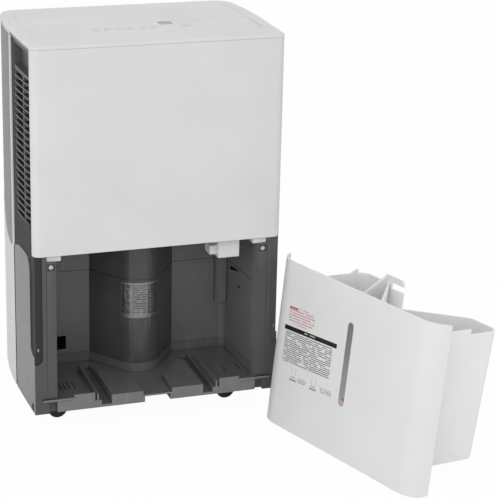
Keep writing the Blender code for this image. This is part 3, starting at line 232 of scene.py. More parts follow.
def scuffed_and_corner_shaded(name, dark, light, scuff, roughness):
    """Grey plastic with the fine upright rub marks of a bucket, and painted shade in its corners.
    """
    made, tree, shader, where = fresh(name, roughness)
    ramp = mottled(tree, shader, where, dark, light, 0.06)
    stretched = add(tree, "ShaderNodeMapping", Vector=where, Scale=RUB_MARKS)
    rubbed = stretched.outputs["Vector"]
    streaks = add(tree, "ShaderNodeTexNoise", Vector=rubbed, Scale=1.0, Detail=4.0)
    # Only the noise's peaks leave a mark: none below 0.62, the full mark from 0.80 up.
    mask = add(tree, "ShaderNodeMapRange", Value=streaks.outputs["Fac"], i1=0.62, i2=0.80)
    mix = add(tree, "ShaderNodeMix", {"data_type": "RGBA"}, Factor=mask.outputs["Result"])
    tree.links.new(ramp.outputs["Color"], mix.inputs[6])
    mix.inputs[7].default_value = linear(scuff)
    worn = mix.outputs[2]
    # Painted shade: an ambient-occlusion node darkens the colour in corners and creases.
    corners = add(tree, "ShaderNodeAmbientOcclusion", {"samples": 4}, Color=worn,
                  Distance=CORNER_REACH)
    # Painted shade: a deep corner, less than 0.30 open, keeps a fifth of its tone; from 0.75 up it
    # keeps all.
    shade = add(tree, "ShaderNodeMapRange", Value=corners.outputs["AO"],
                i1=0.30, i2=0.75, i3=0.20, i4=1.0)
    corner_shaded = add(tree, "ShaderNodeVectorMath", {"operation": "SCALE"},
                 i0=worn, Scale=shade.outputs[0])
    tree.links.new(corner_shaded.outputs[0], shader.inputs["Base Color"])
    grained(tree, shader, where, 0.0009, 0.00004)
    return made


bay_grey = scuffed_and_corner_shaded("grey_abs_scuffed_and_shaded", 0x666667, 0x6E6E6F, 0x848485, 0.42)
# Painted shade: the column is a darker copy of the liner's grey.
column_grey_shaded = scuffed_and_corner_shaded("grey_abs_column_shaded", 0x474748, 0x4F4F50, 0x6A6A6B, 0.20)
floor_grey = scuffed_and_corner_shaded("grey_abs_floor", 0x606061, 0x686869, 0x848485, 0.30)
# Painted light: the base pan's front is a lighter copy of its floor's grey.
apron_grey_lit = scuffed_and_corner_shaded("grey_abs_apron_lit", 0x727273, 0x7A7A7B, 0x909091, 0.32)
black_nylon = grey_plastic("black_nylon", 0x28282A, 0x2E2E30, 0.45, 0.0007)
print("grey finishes:", grey_satin.name, grey_etched_and_shade.name, bay_grey.name)

# %% [markdown]
# ## Metals, clear plastic and the rest
#
# Zinc-plated steel is bright with a faint brushed streak, and foil is a satin aluminium. The
# display is grey acrylic, smooth and glossy. A black, matt sheet behind the louvres is painted
# shade that stands for the inside of the machine. Inside, the compressor is black-enamelled, the
# tubes are drawn copper and the fins are plain aluminium; the same black also paints shade into the
# liner's groove, the base pan's rim and the gaps above the lip's arms.

# %% Metals and small finishes
def metal(name, dark, light, roughness, stretch=(1.0, 1.0, 12.0)):
    """Bare metal with a faint streak; a larger number in stretch is a finer pattern that way."""
    made, tree, shader, where = fresh(name, roughness, 1.0)
    scaled = add(tree, "ShaderNodeMapping", Vector=where, Scale=stretch).outputs["Vector"]
    mottled(tree, shader, scaled, dark, light, 0.004)
    return made


def plain(name, dark, light, roughness, size, grain=0.0008):
    """A finish with no metal in it: blotches and grain of the given sizes, in metres."""
    made, tree, shader, where = fresh(name, roughness)
    mottled(tree, shader, where, dark, light, size)
    grained(tree, shader, where, grain, 0.00002)
    return made


zinc = metal("zinc_plated_steel", 0xB4B6B8, 0xD6D8DA, 0.30)
foil = metal("aluminium_foil", 0xA8A9AA, 0xB8B9BA, 0.42, (14.0, 14.0, 1.0))
fins = metal("aluminium_fin_stock", 0xB4B8BC, 0xC6CACE, 0.38)
copper = metal("drawn_copper", 0xA5643A, 0xC07C4C, 0.32)
# The same black is painted as shade into the liner's groove, on the base pan's rim and in the gaps
# above the lip's arms.
black_enamel_and_shade = plain("black_enamel", 0x18181A, 0x202022, 0.30, 0.02)
# Painted shade: a black sheet behind the louvres stands for the inside of the machine.
shade_sheet_black = plain("painted_shade_sheet", 0x08080A, 0x0E0E10, 0.95, 0.01)
screen_grey = plain("display_acrylic", 0x8A8B8D, 0x929395, 0.12, 0.02)
key_white = plain("key_abs", 0xBFC0C0, 0xC7C8C8, 0.40, 0.02)
board_lacquer = plain("circuit_board_lacquer", 0x1B5436, 0x21633F, 0.35, 0.004)
foam = plain("float_foam", 0xE2DED4, 0xEAE6DC, 0.80, 0.003, 0.002)
print("small finishes:", zinc.name, foil.name, copper.name, screen_grey.name)

# %% [markdown]
# ## Print on plastic
#
# The cover carries a block of printed instructions, the plate on the column a table of ratings, and
# the lid the marks by its keys. Only their look is wanted here, so all are plain bars and rows of
# dashes of uneven length, with no letter in them. A print is flat, so it is drawn in the material:
# a mask from the place on the surface chooses between plastic and ink. The bucket stands turned and
# tipped, so one Mapping node first brings the place into its own directions: across, in, and up.

# %% Helpers for print
BUCKET_PLACE = (0.216645, -0.326441, -0.034642)  # the bucket's own origin, in metres
BUCKET_TURN = (math.radians(-6.5), 0.0, math.radians(-71.7))
PRINT_SLOPE = 0.0585  # the print runs slightly uphill


def in_bucket(tree, where):
    """The place on the surface in the bucket's own directions, as across and up."""
    local = add(tree, "ShaderNodeMapping", {"vector_type": "TEXTURE"}, Vector=where,
                Location=BUCKET_PLACE, Rotation=BUCKET_TURN)
    split = add(tree, "ShaderNodeSeparateXYZ", Vector=local.outputs["Vector"])
    return split.outputs["X"], split.outputs["Z"]


def block(tree, across, high, box):
    """A mask that is 1 inside a rectangle: left, right, low, top, in metres."""
    left, right, low, top = box
    wide = add(tree, "ShaderNodeMath", {"operation": "COMPARE"},
               i0=across, i1=(left + right) / 2, i2=(right - left) / 2)
    tall = add(tree, "ShaderNodeMath", {"operation": "COMPARE"},
               i0=high, i1=(low + top) / 2, i2=(top - low) / 2)
    both = add(tree, "ShaderNodeMath", {"operation": "MULTIPLY"},
               i0=wide.outputs[0], i1=tall.outputs[0])
    return both.outputs[0]


GAP_BELOW = 0.36  # where the noise is below this, a row has a gap
ROW_SHIFT = 3.7  # keeps the gaps of one row apart from those of the next


def dashes(tree, across, high, box, pitch, word, share):
    """Rows of dashes in a rectangle: the rows' pitch, a dash's length, and a row's inked share."""
    rows = add(tree, "ShaderNodeMath", {"operation": "DIVIDE"}, i0=high, i1=pitch).outputs[0]
    row = add(tree, "ShaderNodeMath", {"operation": "FLOOR"}, i0=rows).outputs[0]
    part = add(tree, "ShaderNodeMath", {"operation": "FRACT"}, i0=rows).outputs[0]
    line = add(tree, "ShaderNodeMath", {"operation": "LESS_THAN"}, i0=part, i1=share).outputs[0]
    along = add(tree, "ShaderNodeMath", {"operation": "DIVIDE"}, i0=across, i1=word).outputs[0]
    shift = add(tree, "ShaderNodeMath", {"operation": "MULTIPLY"}, i0=row, i1=ROW_SHIFT).outputs[0]
    spot = add(tree, "ShaderNodeCombineXYZ", X=along, Y=shift)
    noise = add(tree, "ShaderNodeTexNoise", Vector=spot.outputs[0], Scale=1.0, Detail=0.0)
    words = add(tree, "ShaderNodeMath", {"operation": "GREATER_THAN"},
                i0=noise.outputs["Fac"], i1=GAP_BELOW)
    both = add(tree, "ShaderNodeMath", {"operation": "MULTIPLY"}, i0=line, i1=words.outputs[0])
    inside = block(tree, across, high, box)
    kept = add(tree, "ShaderNodeMath", {"operation": "MULTIPLY"}, i0=both.outputs[0], i1=inside)
    return kept.outputs[0]


def printed(tree, shader, paper, across, high, bars, rows=(), rise=0.0):
    """Lays bars and then rows of dashes over the surface's own colour, all raised by rise."""
    marks = []
    for left, right, low, top, ink, cover, *row in [*bars, *rows]:
        box = left, right, low + rise, top + rise
        mask = dashes(tree, across, high, box, *row) if row else block(tree, across, high, box)
        marks.append((mask, ink, cover))
    colour = paper
    for mask, ink, cover in marks:
        share = add(tree, "ShaderNodeMath", {"operation": "MULTIPLY"}, i0=mask, i1=cover).outputs[0]
        mix = add(tree, "ShaderNodeMix", {"data_type": "RGBA"}, Factor=share)
        tree.links.new(colour, mix.inputs[6])
        mix.inputs[7].default_value = linear(ink)
        colour = mix.outputs[2]
    tree.links.new(colour, shader.inputs["Base Color"])


print("a row of print has a gap where the noise is below", GAP_BELOW)

# %% [markdown]
# ## What is printed
#
# Each print is a short table of bars and rows. The cover has a red warning, a black heading, rows
# of instructions and two small drawings made of thin bars. The level window is smoked acrylic with
# a paler foot and a red mark. The plate has three columns of rows, and the lid a thin outline, the
# display's frame and the marks by the keys.

# %% Prints
RED, BLACK, GREY, PALE = 0xB9383C, 0x161617, 0x77787A, 0xE0E0E0
LINE, MARK, SCREEN = 0xA9AAAB, 0x8E8F90, 0x9FA0A1
# A bar is its left, right, low and top in metres, its ink, and how fully the ink covers.
COVER_BARS = (
    (-0.1382, -0.1185, 0.1915, 0.1948, RED, 0.9),
    (-0.1444, -0.0215, 0.1565, 0.1637, BLACK, 1.0),
    (-0.1155, -0.1148, 0.0880, 0.1005, GREY, 0.6),
    (-0.1068, -0.1061, 0.0880, 0.1005, GREY, 0.6),
    (-0.1190, -0.1035, 0.0790, 0.0825, GREY, 0.7),
    (-0.1165, -0.1055, 0.0845, 0.0862, GREY, 0.7),
    (-0.0672, -0.0665, 0.0870, 0.0995, GREY, 0.6),
    (-0.0585, -0.0578, 0.0870, 0.0995, GREY, 0.6),
    (-0.0710, -0.0555, 0.0780, 0.0815, GREY, 0.7),
    (-0.0685, -0.0575, 0.0835, 0.0852, GREY, 0.7),
)
# A block of rows has the same six, then the rows' pitch, a dash's length and the inked share.
COVER_ROWS = (
    (-0.1380, -0.0775, 0.1720, 0.1912, RED, 0.62, 0.0042, 0.0075, 0.45),
    (-0.1180, -0.0830, 0.1912, 0.1950, RED, 0.50, 0.0042, 0.0040, 0.45),
    (-0.1260, -0.0930, 0.1668, 0.1705, RED, 0.50, 0.0042, 0.0040, 0.45),
    (-0.0975, -0.0720, 0.1585, 0.1612, PALE, 0.70, 0.0040, 0.0040, 0.45),
    (-0.1415, -0.0300, 0.1062, 0.1550, BLACK, 0.80, 0.0031, 0.0075, 0.46),
    (-0.1010, -0.0800, 0.0800, 0.0880, GREY, 0.80, 0.0033, 0.0040, 0.45),
    (-0.0470, -0.0200, 0.0800, 0.0880, GREY, 0.80, 0.0033, 0.0040, 0.45),
)
PRINT_LEFT = -0.1444  # the heights above are those at the print's left end
printed_pp, tree, shader, where, ramp = waxy("white_polypropylene_printed", 0xDFDFDF, 0xE4E4E4)
across, up_cover = in_bucket(tree, where)
level = add(tree, "ShaderNodeMath", {"operation": "MULTIPLY_ADD"},
            i0=across, i1=-PRINT_SLOPE, i2=up_cover)
printed(tree, shader, ramp.outputs["Color"], across, level.outputs[0], COVER_BARS, COVER_ROWS,
        -PRINT_LEFT * PRINT_SLOPE)

window_smoke, tree, shader, where = fresh("smoked_acrylic_marked", 0.14)
across, up_cover = in_bucket(tree, where)
fade = add(tree, "ShaderNodeMapRange", Value=up_cover, i1=0.09, i2=0.20, i3=0.0, i4=1.0)
ramp = add(tree, "ShaderNodeValToRGB", Fac=fade.outputs[0])
ramp.color_ramp.elements[0].color = linear(0x969492)
ramp.color_ramp.elements[1].color = linear(0x7C7C7D)
printed(tree, shader, ramp.outputs["Color"], across, up_cover, (
    (-0.0100, 0.0200, 0.0600, 0.0905, 0xAFACA8, 0.8),
    (0.0035, 0.0100, 0.0903, 0.0945, 0xC23A34, 0.9),
))

foil_printed, tree, shader, where = fresh("aluminium_foil_printed", 0.45, 1.0)
ramp = mottled(tree, shader, where, 0x8A8B8C, 0xA0A1A2, 0.02)
split = add(tree, "ShaderNodeSeparateXYZ", Vector=where)
printed(tree, shader, ramp.outputs["Color"], split.outputs["X"], split.outputs["Z"], (
    (-0.0400, 0.0400, 0.1600, 0.1606, BLACK, 0.8),
), (
    (-0.0300, -0.0190, 0.1120, 0.1600, BLACK, 0.75, 0.0030, 0.0030, 0.55),
    (-0.0160, 0.0060, 0.1120, 0.1600, BLACK, 0.60, 0.0038, 0.0050, 0.45),
    (0.0080, 0.0250, 0.1120, 0.1600, BLACK, 0.80, 0.0026, 0.0030, 0.55),
))

lid_printed, tree, shader, where, ramp = eroded("white_abs_printed")
split = add(tree, "ShaderNodeSeparateXYZ", Vector=where)
printed(tree, shader, ramp.outputs["Color"], split.outputs["X"], split.outputs["Y"], (
    (-0.1760, 0.1760, -0.0808, -0.0798, LINE, 0.8),
    (-0.1766, -0.1754, -0.0800, -0.0200, LINE, 0.7),
    (0.1754, 0.1766, -0.0800, -0.0200, LINE, 0.7),
    (0.0300, 0.0510, -0.0300, -0.0100, SCREEN, 1.0),
), (
    (-0.0820, 0.0220, -0.0385, -0.0345, MARK, 0.55, 0.0040, 0.0030, 0.40),
    (-0.0820, 0.0220, -0.0560, -0.0500, MARK, 0.45, 0.0030, 0.0022, 0.45),
    (0.0600, 0.0760, -0.0560, -0.0345, MARK, 0.50, 0.0050, 0.0030, 0.30),
))
print("printed finishes:", printed_pp.name, window_smoke.name, foil_printed.name, lid_printed.name)

# %% [markdown]
# ## Room and lamps
#
# A large soft lamp from the front left gives the panel its even tone and lets the bay fall into
# shade. Weaker ones from the left, the right and above keep the sides, the bucket and the lid open,
# and the world fills the rest. The world is full white only where the camera or a reflection sees
# it, and weaker as a light, so that the object isn't washed out.

# %% Lights
def lamp(name, place, target, size, power):
    """A soft rectangular lamp of this many watts, turned towards its target."""
    light = bpy.data.lights.new(name, "AREA")
    light.shape = "RECTANGLE"
    light.size, light.size_y = size
    light.energy = power
    toward = Vector(target) - Vector(place)
    aim = toward.to_track_quat("-Z", "Y").to_matrix().to_4x4()
    linked(name, light).matrix_world = Matrix.Translation(place) @ aim


lamp("key_lamp", (-1.3, -2.3, 1.7), (0.0, 0.0, 0.25), (1.6, 1.6), 21)
lamp("left_lamp", (-2.5, -0.9, 1.0), (0.1, -0.3, 0.15), (1.4, 1.4), 9)
lamp("fill_lamp", (2.2, -1.9, 1.2), (0.1, 0.0, 0.2), (1.4, 1.4), 9)
lamp("top_lamp", (0.0, 0.3, 2.4), (0.0, 0.0, 0.0), (1.8, 1.8), 5)

world = bpy.data.worlds.new("studio")
world.use_nodes = True
bpy.context.scene.world = world
sky = world.node_tree
paths = add(sky, "ShaderNodeLightPath")
seen = add(sky, "ShaderNodeMath", {"operation": "MAXIMUM"}, i0=paths.outputs["Is Camera Ray"],
           i1=paths.outputs["Is Transmission Ray"])
shown = add(sky, "ShaderNodeMath", {"operation": "MAXIMUM"}, i0=seen.outputs[0],
            i1=paths.outputs["Is Glossy Ray"])
WORLD_LIGHT = 0.66  # the world's strength as a light; it shows at 1
strength = add(sky, "ShaderNodeMapRange", Value=shown.outputs[0], i3=WORLD_LIGHT, i4=1.0)
sky.links.new(strength.outputs["Result"], sky.nodes["Background"].inputs["Strength"])
sky.nodes["Background"].inputs["Color"].default_value = (1, 1, 1, 1)
bpy.context.scene.view_settings.view_transform = "Standard"

# %% [markdown]
# ## Floor
#
# The floor is pale and touches the castors' wheels. To the camera it shows mostly the background's
# white, with a little of the lit paint mixed in, which keeps a soft shadow under the machine.

# %% Floor
def meshed(name, bm):
    """The finished edit as a mesh."""
    mesh = bpy.data.meshes.new(name)
    bm.to_mesh(mesh)
    bm.free()
    return mesh


FLOOR_HALF = 6.0
FLOOR_GLOW = 0.97  # the share of plain white that the camera sees
bm = bmesh.new()
bmesh.ops.create_grid(bm, x_segments=1, y_segments=1, size=FLOOR_HALF,
                      matrix=Matrix.Translation((0, 0, floor_z)))
floor = linked("floor", meshed("floor", bm))
paint, tree, shader, where = fresh("floor_white", 0.7)
shader.inputs["Base Color"].default_value = linear(0xEDEDED)
paths = add(tree, "ShaderNodeLightPath")
glow = add(tree, "ShaderNodeEmission", Color=(1, 1, 1, 1), Strength=1.0)
share = add(tree, "ShaderNodeMath", {"operation": "MULTIPLY"},
            i0=paths.outputs["Is Camera Ray"], i1=FLOOR_GLOW)
blend = add(tree, "ShaderNodeMixShader",
            Fac=share.outputs[0], i1=shader.outputs[0], i2=glow.outputs[0])
tree.links.new(blend.outputs[0], tree.nodes["Material Output"].inputs["Surface"])
floor.data.materials.append(paint)
print("floor at", round(floor_z, 4))

# %% [markdown]
# ## Soft edges on the CAD solids
#
# Every moulded or pressed edge is slightly round and catches a thin line of light. The CAD solids
# have sharp edges, so each piece that shows is copied, its loose corners are joined, flat areas
# become single faces again, and a Bevel modifier rounds what is left. The copy then stands for its
# node. The helpers for this come first.

# %% Helpers for shapes
WELD = 2e-5  # loose corners nearer to each other than this are joined
CREASE = math.radians(38)  # edges sharper than this are rounded
SHARP = math.radians(32)  # edges sharper than this stay sharp in the shading
FLAT = math.radians(0.6)  # faces that differ by less than this become one


def shown_as(obj, node):
    """The new piece stands for a CAD node: it rides on its body, and the node is hidden."""
    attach(obj, nodes[node]["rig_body"])
    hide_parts(node)


def smooth(mesh):
    """Round faces are shaded smooth, and real corners stay sharp."""
    mesh.shade_smooth()
    mesh.set_sharp_from_angle(angle=SHARP)


def rounded(obj, width, segments):
    """A modifier that rounds the object's sharp edges; it can be given more settings."""
    rounding = obj.modifiers.new("rounding", "BEVEL")
    rounding.width = width
    rounding.segments = segments
    rounding.limit_method = "ANGLE"
    rounding.angle_limit = CREASE
    return rounding


def boxed(size, middle):
    """A box of this size about this middle, still open to edits."""
    bm = bmesh.new()
    bmesh.ops.create_cube(bm, size=1.0)
    bmesh.ops.scale(bm, vec=size, verts=bm.verts)
    bmesh.ops.translate(bm, vec=middle, verts=bm.verts)
    return bm


def welded(mesh):
    """The mesh opened for editing, with its loose corners joined."""
    bm = bmesh.new()
    bm.from_mesh(mesh)
    bmesh.ops.remove_doubles(bm, verts=bm.verts, dist=WELD)
    return bm


def brick(low, high, corner):
    """A block between two corners, as an object; its lowest inner edge may be rounded."""
    low, high = Vector(low), Vector(high)
    bm = boxed(high - low, (low + high) / 2)
    if corner:
        inner = min(abs(low.x), abs(high.x))
        edges = [
            e for e in bm.edges
            if all(abs(v.co.z - low.z) < WELD and abs(abs(v.co.x) - inner) < WELD for v in e.verts)
        ]
        bmesh.ops.bevel(bm, geom=edges, offset=corner, segments=6, profile=0.5, affect="EDGES",
                        material=-1)
    bmesh.ops.recalc_face_normals(bm, faces=bm.faces)
    return linked("brick", meshed("brick", bm))


def carve(mesh, cutters):
    """Takes the cutters out of a closed mesh and returns the new mesh."""
    body = linked("body", mesh)
    for cutter in cutters:
        step = body.modifiers.new("cut", "BOOLEAN")
        step.operation = "DIFFERENCE"
        step.solver = "EXACT"
        step.object = cutter
    bpy.context.view_layer.update()
    solved = body.evaluated_get(bpy.context.evaluated_depsgraph_get())
    made = bpy.data.meshes.new_from_object(solved)
    for helper in [body, *cutters]:
        bpy.data.objects.remove(helper)
    return made


print("edges above", round(math.degrees(CREASE)), "degrees will be rounded")

# %% [markdown]
# ## Two kinds of piece that are reshaped
#
# The louvres are bent inward towards the front, along a parabola. The side frames get shallow cuts
# by Boolean modifiers, for the swoosh's end, a thin upright line and the groove at the rear seam,
# and the upright corner of each pillar gets a larger radius than the other edges.

# %% Reshape
BEND_START, BEND_LENGTH, BEND_DEPTH = -0.045, 0.077, 0.0050  # where it starts is a y
LOUVRE_LOW, LOUVRE_TOP, POCKET_FLOOR = 0.290, 0.5195, 0.5212  # heights in a louvre insert


def hollowed(place):
    """The louvres draw in towards the front: how far inward a point of them moves."""
    reach = max(0.0, BEND_START - place.y) / BEND_LENGTH
    return BEND_DEPTH * reach * reach


PILLAR_FRONT = -0.134  # the y of a pillar's front
TAIL_INNER, TAIL_LOW, TAIL_TOP, TAIL_SINK = 0.1808, 0.0815, 0.2540, 0.0014  # the swoosh's end
LINE_INNER, LINE_OUTER, LINE_LOW, LINE_TOP, LINE_SINK = 0.1738, 0.1745, 0.0200, 0.2440, 0.0009
SEAM_FRONT, SEAM_BACK, SEAM_INNER, SEAM_TOP = -0.0150, -0.0098, 0.1937, 0.5660  # the rear groove
BEFORE, OUTSIDE, BELOW = -0.20, 0.30, -0.01  # clear of the machine, in y, x and z
NEAR = 0.0002  # a face this near to a line counts as on it


def side_cutters(sign):
    """The swoosh's end, the upright line on a pillar's front, and the groove at the rear seam."""
    cutters = []
    for low, high, corner in (
        ((TAIL_INNER, BEFORE, TAIL_LOW), (OUTSIDE, PILLAR_FRONT + TAIL_SINK, TAIL_TOP), 0.010),
        ((LINE_INNER, BEFORE, LINE_LOW), (LINE_OUTER, PILLAR_FRONT + LINE_SINK, LINE_TOP), 0.0),
        ((SEAM_INNER, SEAM_FRONT, BELOW), (OUTSIDE, SEAM_BACK, SEAM_TOP), 0.0),
    ):
        if sign < 0:
            low, high = (-high[0], *low[1:]), (-low[0], *high[1:])
        cutters.append(brick(low, high, corner))
    return cutters


CORNER_BACK, CORNER_INNER, CORNER_RADIUS = PILLAR_FRONT + 0.0018, 0.1885, 0.0030
STEEP = 0.9  # radians between the two faces of an edge


def round_corner(bm):
    """Rounds the upright corner between a pillar's front and its side."""
    corner = [
        e for e in bm.edges
        if all(v.co.y < CORNER_BACK and abs(v.co.x) > CORNER_INNER for v in e.verts)
        and (e.verts[0].co.xy - e.verts[1].co.xy).length < 1e-4 and len(e.link_faces) == 2
        and e.calc_face_angle(0.0) > STEEP
    ]
    bmesh.ops.bevel(bm, geom=corner, offset=CORNER_RADIUS, segments=4, profile=0.5,
                    affect="EDGES", material=-1, clamp_overlap=True)
    print("rounded", len(corner), "corner edges of a pillar")


print("the louvres bend by up to", round(BEND_DEPTH * 1000), "mm")

# %% [markdown]
# ## Soften one piece
#
# A piece is copied, reshaped if it needs it, and its flat areas are joined. Then it gets its
# finishes and two modifiers: one rounds its edges, and the other keeps its large faces flat in the
# shading. Faces with holes in them can't be joined into one, so some pieces keep their triangles.

# %% Soften
WITH_HOLES = (
    "side_frame_left", "side_frame_right", "base_pan", "bay_liner", "top_cover", "rear_shell",
    "rear_grille", "louvre_left", "louvre_right", "drain_outlet", "drain_cap", "pump_outlet",
    "cord_gland",
)


def soften(node, finish, width, areas):
    """Puts a copy of a CAD node in its place, with rounded edges and finishes by area."""
    mesh = nodes[node].data.copy()
    bm = welded(mesh)
    if node.startswith("louvre"):
        for corner in bm.verts:
            if corner.co.z < LOUVRE_TOP:
                corner.co.x -= math.copysign(hollowed(corner.co), corner.co.x)
    if node.startswith("side_frame"):
        bm.to_mesh(mesh)
        bm.free()
        mesh = carve(mesh, side_cutters(-1 if node.endswith("left") else 1))
        bm = welded(mesh)
        round_corner(bm)
    if node not in WITH_HOLES:
        bmesh.ops.dissolve_limit(
            bm, angle_limit=FLAT, verts=bm.verts, edges=bm.edges, use_dissolve_boundaries=False
        )
    bm.to_mesh(mesh)
    bm.free()
    mesh.materials.clear()
    mesh.materials.append(finish)
    for other, test in areas:
        mesh.materials.append(other)
        for face in mesh.polygons:
            if test(face.center, face.normal):
                face.material_index = len(mesh.materials) - 1
    smooth(mesh)
    made = linked(node + "_soft", mesh)
    if width:
        rounding = rounded(made, width, 2)
        rounding.miter_outer = "MITER_ARC"
        rounding.harden_normals = True
        flat = made.modifiers.new("flat_faces", "WEIGHTED_NORMAL")
        flat.keep_sharp = True
        flat.weight = 90
    shown_as(made, node)


print(len(WITH_HOLES), "pieces keep their triangles")

# %% [markdown]
# ## Areas with a finish of their own
#
# Some pieces show two tones. The swoosh is sunk and etched. The pillars' fronts face away from the
# light and are painted darker as shade, and the bay's column is rubbed smooth and painted darker as
# shade. The base pan's front is painted lighter as lit, and the faces in the grooves and between
# the slats are painted near-black as shade. The hand pocket is set darker than the louvres. Each
# area is told from the rest by a test on a face's middle and its direction. A side's outline is
# read from the foot of its own piece, so the test for the sunk faces follows it wherever it runs.

# %% Finish by area
FORWARD = -0.6  # the y of a normal that looks forward, or nearly
SUNK_LEAST, SUNK_MOST = 0.0011, 0.0040  # how far below the skin a sunk face lies
SIDE_HALF = 0.17  # everything further out than this belongs to a side's skin
FOOT_HEIGHT = 0.001


def sunk(node):
    """A test for the faces of a side that lie below its outer skin."""
    foot = {}
    for corner in nodes[node].data.vertices:
        if corner.co.z < FOOT_HEIGHT:
            depth = round(corner.co.y, 4)
            foot[depth] = max(foot.get(depth, 0.0), abs(corner.co.x))
    line = sorted((depth, half) for depth, half in foot.items() if half > SIDE_HALF)

    def test(centre, normal):
        half = abs(centre.x)
        # Painted shade: the rear seam's groove takes the sunk faces' near-black.
        in_groove = SEAM_FRONT - NEAR < centre.y < SEAM_BACK + NEAR
        if in_groove and half < SEAM_INNER + 0.0020 and centre.z < SEAM_TOP + 0.0010:
            return True
        if half > TAIL_INNER and centre.y < -0.125 and TAIL_LOW < centre.z < TAIL_TOP + NEAR:
            return centre.y > PILLAR_FRONT + TAIL_SINK / 2 or abs(normal.y) < 0.97
        if abs(normal.x) < -FORWARD or normal.x * centre.x < 0:
            return False
        skin = min(line, key=lambda point: abs(point[0] - centre.y))[1]
        return SUNK_LEAST < skin - half < SUNK_MOST

    return test


def front_faces(centre, normal):
    """Faces that look forward."""
    return normal.y < FORWARD


def pocket_faces(centre, normal):
    """The hand pocket above the louvres."""
    return centre.z > POCKET_FLOOR


def slat_faces(centre, normal):
    """The upper and lower faces of the louvres, which lie in each other's shade and are painted
    near-black as that shade.
    """
    return abs(normal.z) > 0.4 and LOUVRE_LOW < centre.z < LOUVRE_TOP


def column_faces(centre, normal):
    """The column that wraps the compressor, in the middle of the bay's back; it is painted darker
    as shade.
    """
    return abs(centre.x) < 0.060 and centre.y < 0.0225


def groove_faces(centre, normal):
    """The upper and lower faces of the groove that runs round the liner, painted black as the shade
    in it.
    """
    return abs(normal.z) > 0.5 and 0.130 < centre.z < 0.180


def rim_faces(centre, normal):
    """The top of the base pan's rim, in the shade of the liner's edge."""
    return normal.z > 0.9 and abs(centre.z - 0.029) < 0.0008


def apron_faces(centre, normal):
    """The base pan's front, painted lighter as lit."""
    return normal.y < FORWARD and centre.y < -0.120


AREAS = {
    # Painted shade: the pillars' fronts, and the right side's sunk faces, take the darker copy.
    "side_frame_left": ((grey_pillar_shaded, front_faces), (grey_etched_and_shade, sunk("side_frame_left"))),
    "side_frame_right": ((grey_pillar_shaded, front_faces), (grey_pillar_shaded, sunk("side_frame_right"))),
    "bay_liner": ((column_grey_shaded, column_faces), (black_enamel_and_shade, groove_faces)),
    "base_pan": ((apron_grey_lit, apron_faces), (black_enamel_and_shade, rim_faces)),
    "louvre_left": ((pocket_grey, pocket_faces), (grey_etched_and_shade, slat_faces)),
    "louvre_right": ((pocket_grey, pocket_faces), (grey_etched_and_shade, slat_faces)),
}
print("pieces with areas of their own:", list(AREAS))

# %% [markdown]
# ## Every piece that shows
#
# Each line names a node, its finish, and the radius of its edges in metres. Large mouldings have
# the largest radii. The display's window is a thin flat sheet and keeps its sharp edges.

# %% Soften every piece
SOFT = (
    ("front_panel", white_abs, 0.0010),
    ("top_cover", lid_printed, 0.0003),
    ("rear_shell", white_abs, 0.0007),
    ("side_frame_left", grey_satin, 0.0005),
    ("side_frame_right", grey_satin, 0.0005),
    ("rear_trim_left", grey_trim, 0.0003),
    ("rear_trim_right", grey_trim, 0.0003),
    ("louvre_left", louvre_grey, 0.0004),
    ("louvre_right", louvre_grey, 0.0004),
    ("base_pan", floor_grey, 0.0007),
    ("bay_liner", bay_grey, 0.0006),
    ("hose_duct", bay_grey, 0.0006),
    ("pump_housing", white_abs, 0.0008),
    ("panel_clip_left", white_abs, 0.0006),
    ("panel_clip_right", white_abs, 0.0006),
    ("rear_grille", white_abs, 0.0005),
    ("drain_outlet", white_abs, 0.0005),
    ("drain_cap", grey_satin, 0.0006),
    ("pump_outlet", white_abs, 0.0005),
    ("cord_gland", black_nylon, 0.0005),
    ("bucket_cover", printed_pp, 0.0009),
    ("bucket_tub", white_pp, 0.0009),
    ("bucket_float", foam, 0.0008),
    ("level_window", window_smoke, 0.0004),
    ("display_window", screen_grey, 0.0),
)
for node, finish, width in SOFT:
    soften(node, finish, width, AREAS.get(node, ()))
print("softened", len(SOFT), "pieces")

# %% [markdown]
# ## Small moulded details
#
# The lip of the base pan runs on past the pillars as two thin arms, each with a thin black bar
# above it as painted shadow in the gap. A round plug closes a hole low on each side, and a small
# pin shows in the swoosh's end. A black sheet behind the louvres is painted shade for the inside of
# the machine, and one more slat closes them at the top. Each is a short bar or disc with rounded
# edges, and rides on the machine's body.

# %% Small details
def detail(name, bm, finish, width):
    """A small part of the machine from an edit, with edges of this radius."""
    mesh = meshed(name, bm)
    mesh.materials.append(finish)
    made = linked(name, mesh)
    rounded(made, width, 3)
    smooth(mesh)
    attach(made, nodes["base_pan"]["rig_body"])


def disc(radius, depth, segments, place, turn):
    """A disc about this place, turned from lying flat."""
    bm = bmesh.new()
    bmesh.ops.create_cone(bm, cap_ends=True, segments=segments, radius1=radius, radius2=radius,
                          depth=depth, matrix=Matrix.Translation(place) @ turn)
    return bm


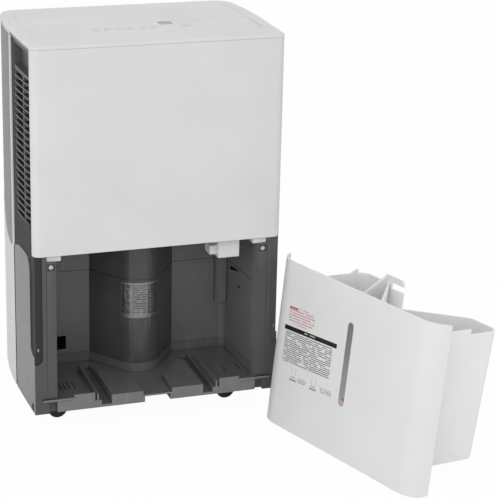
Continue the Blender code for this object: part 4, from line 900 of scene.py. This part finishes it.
TO_SIDE = Matrix.Rotation(math.radians(90), 4, "Y")
TO_FRONT = Matrix.Rotation(math.radians(90), 4, "X")
OVAL = Matrix.Diagonal((1, 2.4, 1, 1))
for side, name in ((-1, "left"), (1, "right")):
    arm = boxed((0.0500, 0.0020, 0.0032), (side * 0.1570, -0.1354, 0.0214))
    detail("lip_arm_" + name, arm, apron_grey_lit, 0.0009)
    # Painted shadow: a thin black bar fills the gap above each arm.
    gap = boxed((0.0270, 0.0014, 0.0018), (side * 0.1695, -0.1351, 0.0240))
    detail("lip_shadow_" + name, gap, black_enamel_and_shade, 0.0002)
    plug = disc(0.0062, 0.0030, 32, (side * 0.1931, -0.1180, 0.0075), TO_SIDE)
    detail("side_plug_" + name, plug, grey_etched_and_shade, 0.0006)
    pin = disc(0.0011, 0.0016, 20, (side * 0.1880, -0.1332, 0.1060), TO_FRONT @ OVAL)
    detail("tail_pin_" + name, pin, foil if side < 0 else grey_trim, 0.0003)
    # Painted shade: a black sheet behind the louvres stands for the inside of the machine.
    shade_sheet = boxed((0.0010, 0.0960, 0.2285), (side * 0.1740, -0.0735, 0.40725))
    detail("shade_sheet_" + name, shade_sheet, shade_sheet_black, 0.0002)
    slat = boxed((0.0080, 0.0975, 0.0022), (side * 0.1888, -0.07325, 0.5175))
    lengthwise = [e for e in slat.edges if abs(e.verts[0].co.y - e.verts[1].co.y) > 0.05]
    bmesh.ops.subdivide_edges(slat, edges=lengthwise, cuts=9, use_grid_fill=True)
    for corner in slat.verts:
        corner.co.x -= side * hollowed(corner.co)
    detail("top_slat_" + name, slat, louvre_grey, 0.0004)
print("small details added")

# %% [markdown]
# ## Finishes of the other nodes
#
# The pieces inside the machine, the castors, the keys and the screws need no softer edges: they are
# small, or only show through a slot. They stay as the CAD made them and are given a real finish.

# %% Finish the other nodes
plain_nodes = {
    "air_filter": black_nylon, "evaporator_coil": fins, "condenser_coil": fins,
    "compressor": black_enamel_and_shade, "accumulator": black_enamel_and_shade, "discharge_tube": copper,
    "suction_tube": copper, "fan_scroll": white_abs, "fan_motor": zinc,
    "blower_wheel": black_nylon, "drip_tray": white_abs, "control_board": board_lacquer,
    "capacitor": fins, "rating_label": foil_printed, "screw_left": zinc, "screw_right": zinc,
}
for name, obj in nodes.items():
    finish = plain_nodes.get(name)
    if name.startswith("castor"):
        finish = black_enamel_and_shade if "axle" in name else black_nylon
    if name.startswith("key"):
        finish = key_white
    if finish:
        obj.data.materials.clear()
        obj.data.materials.append(finish)
        smooth(obj.data)
print("plain nodes refinished")
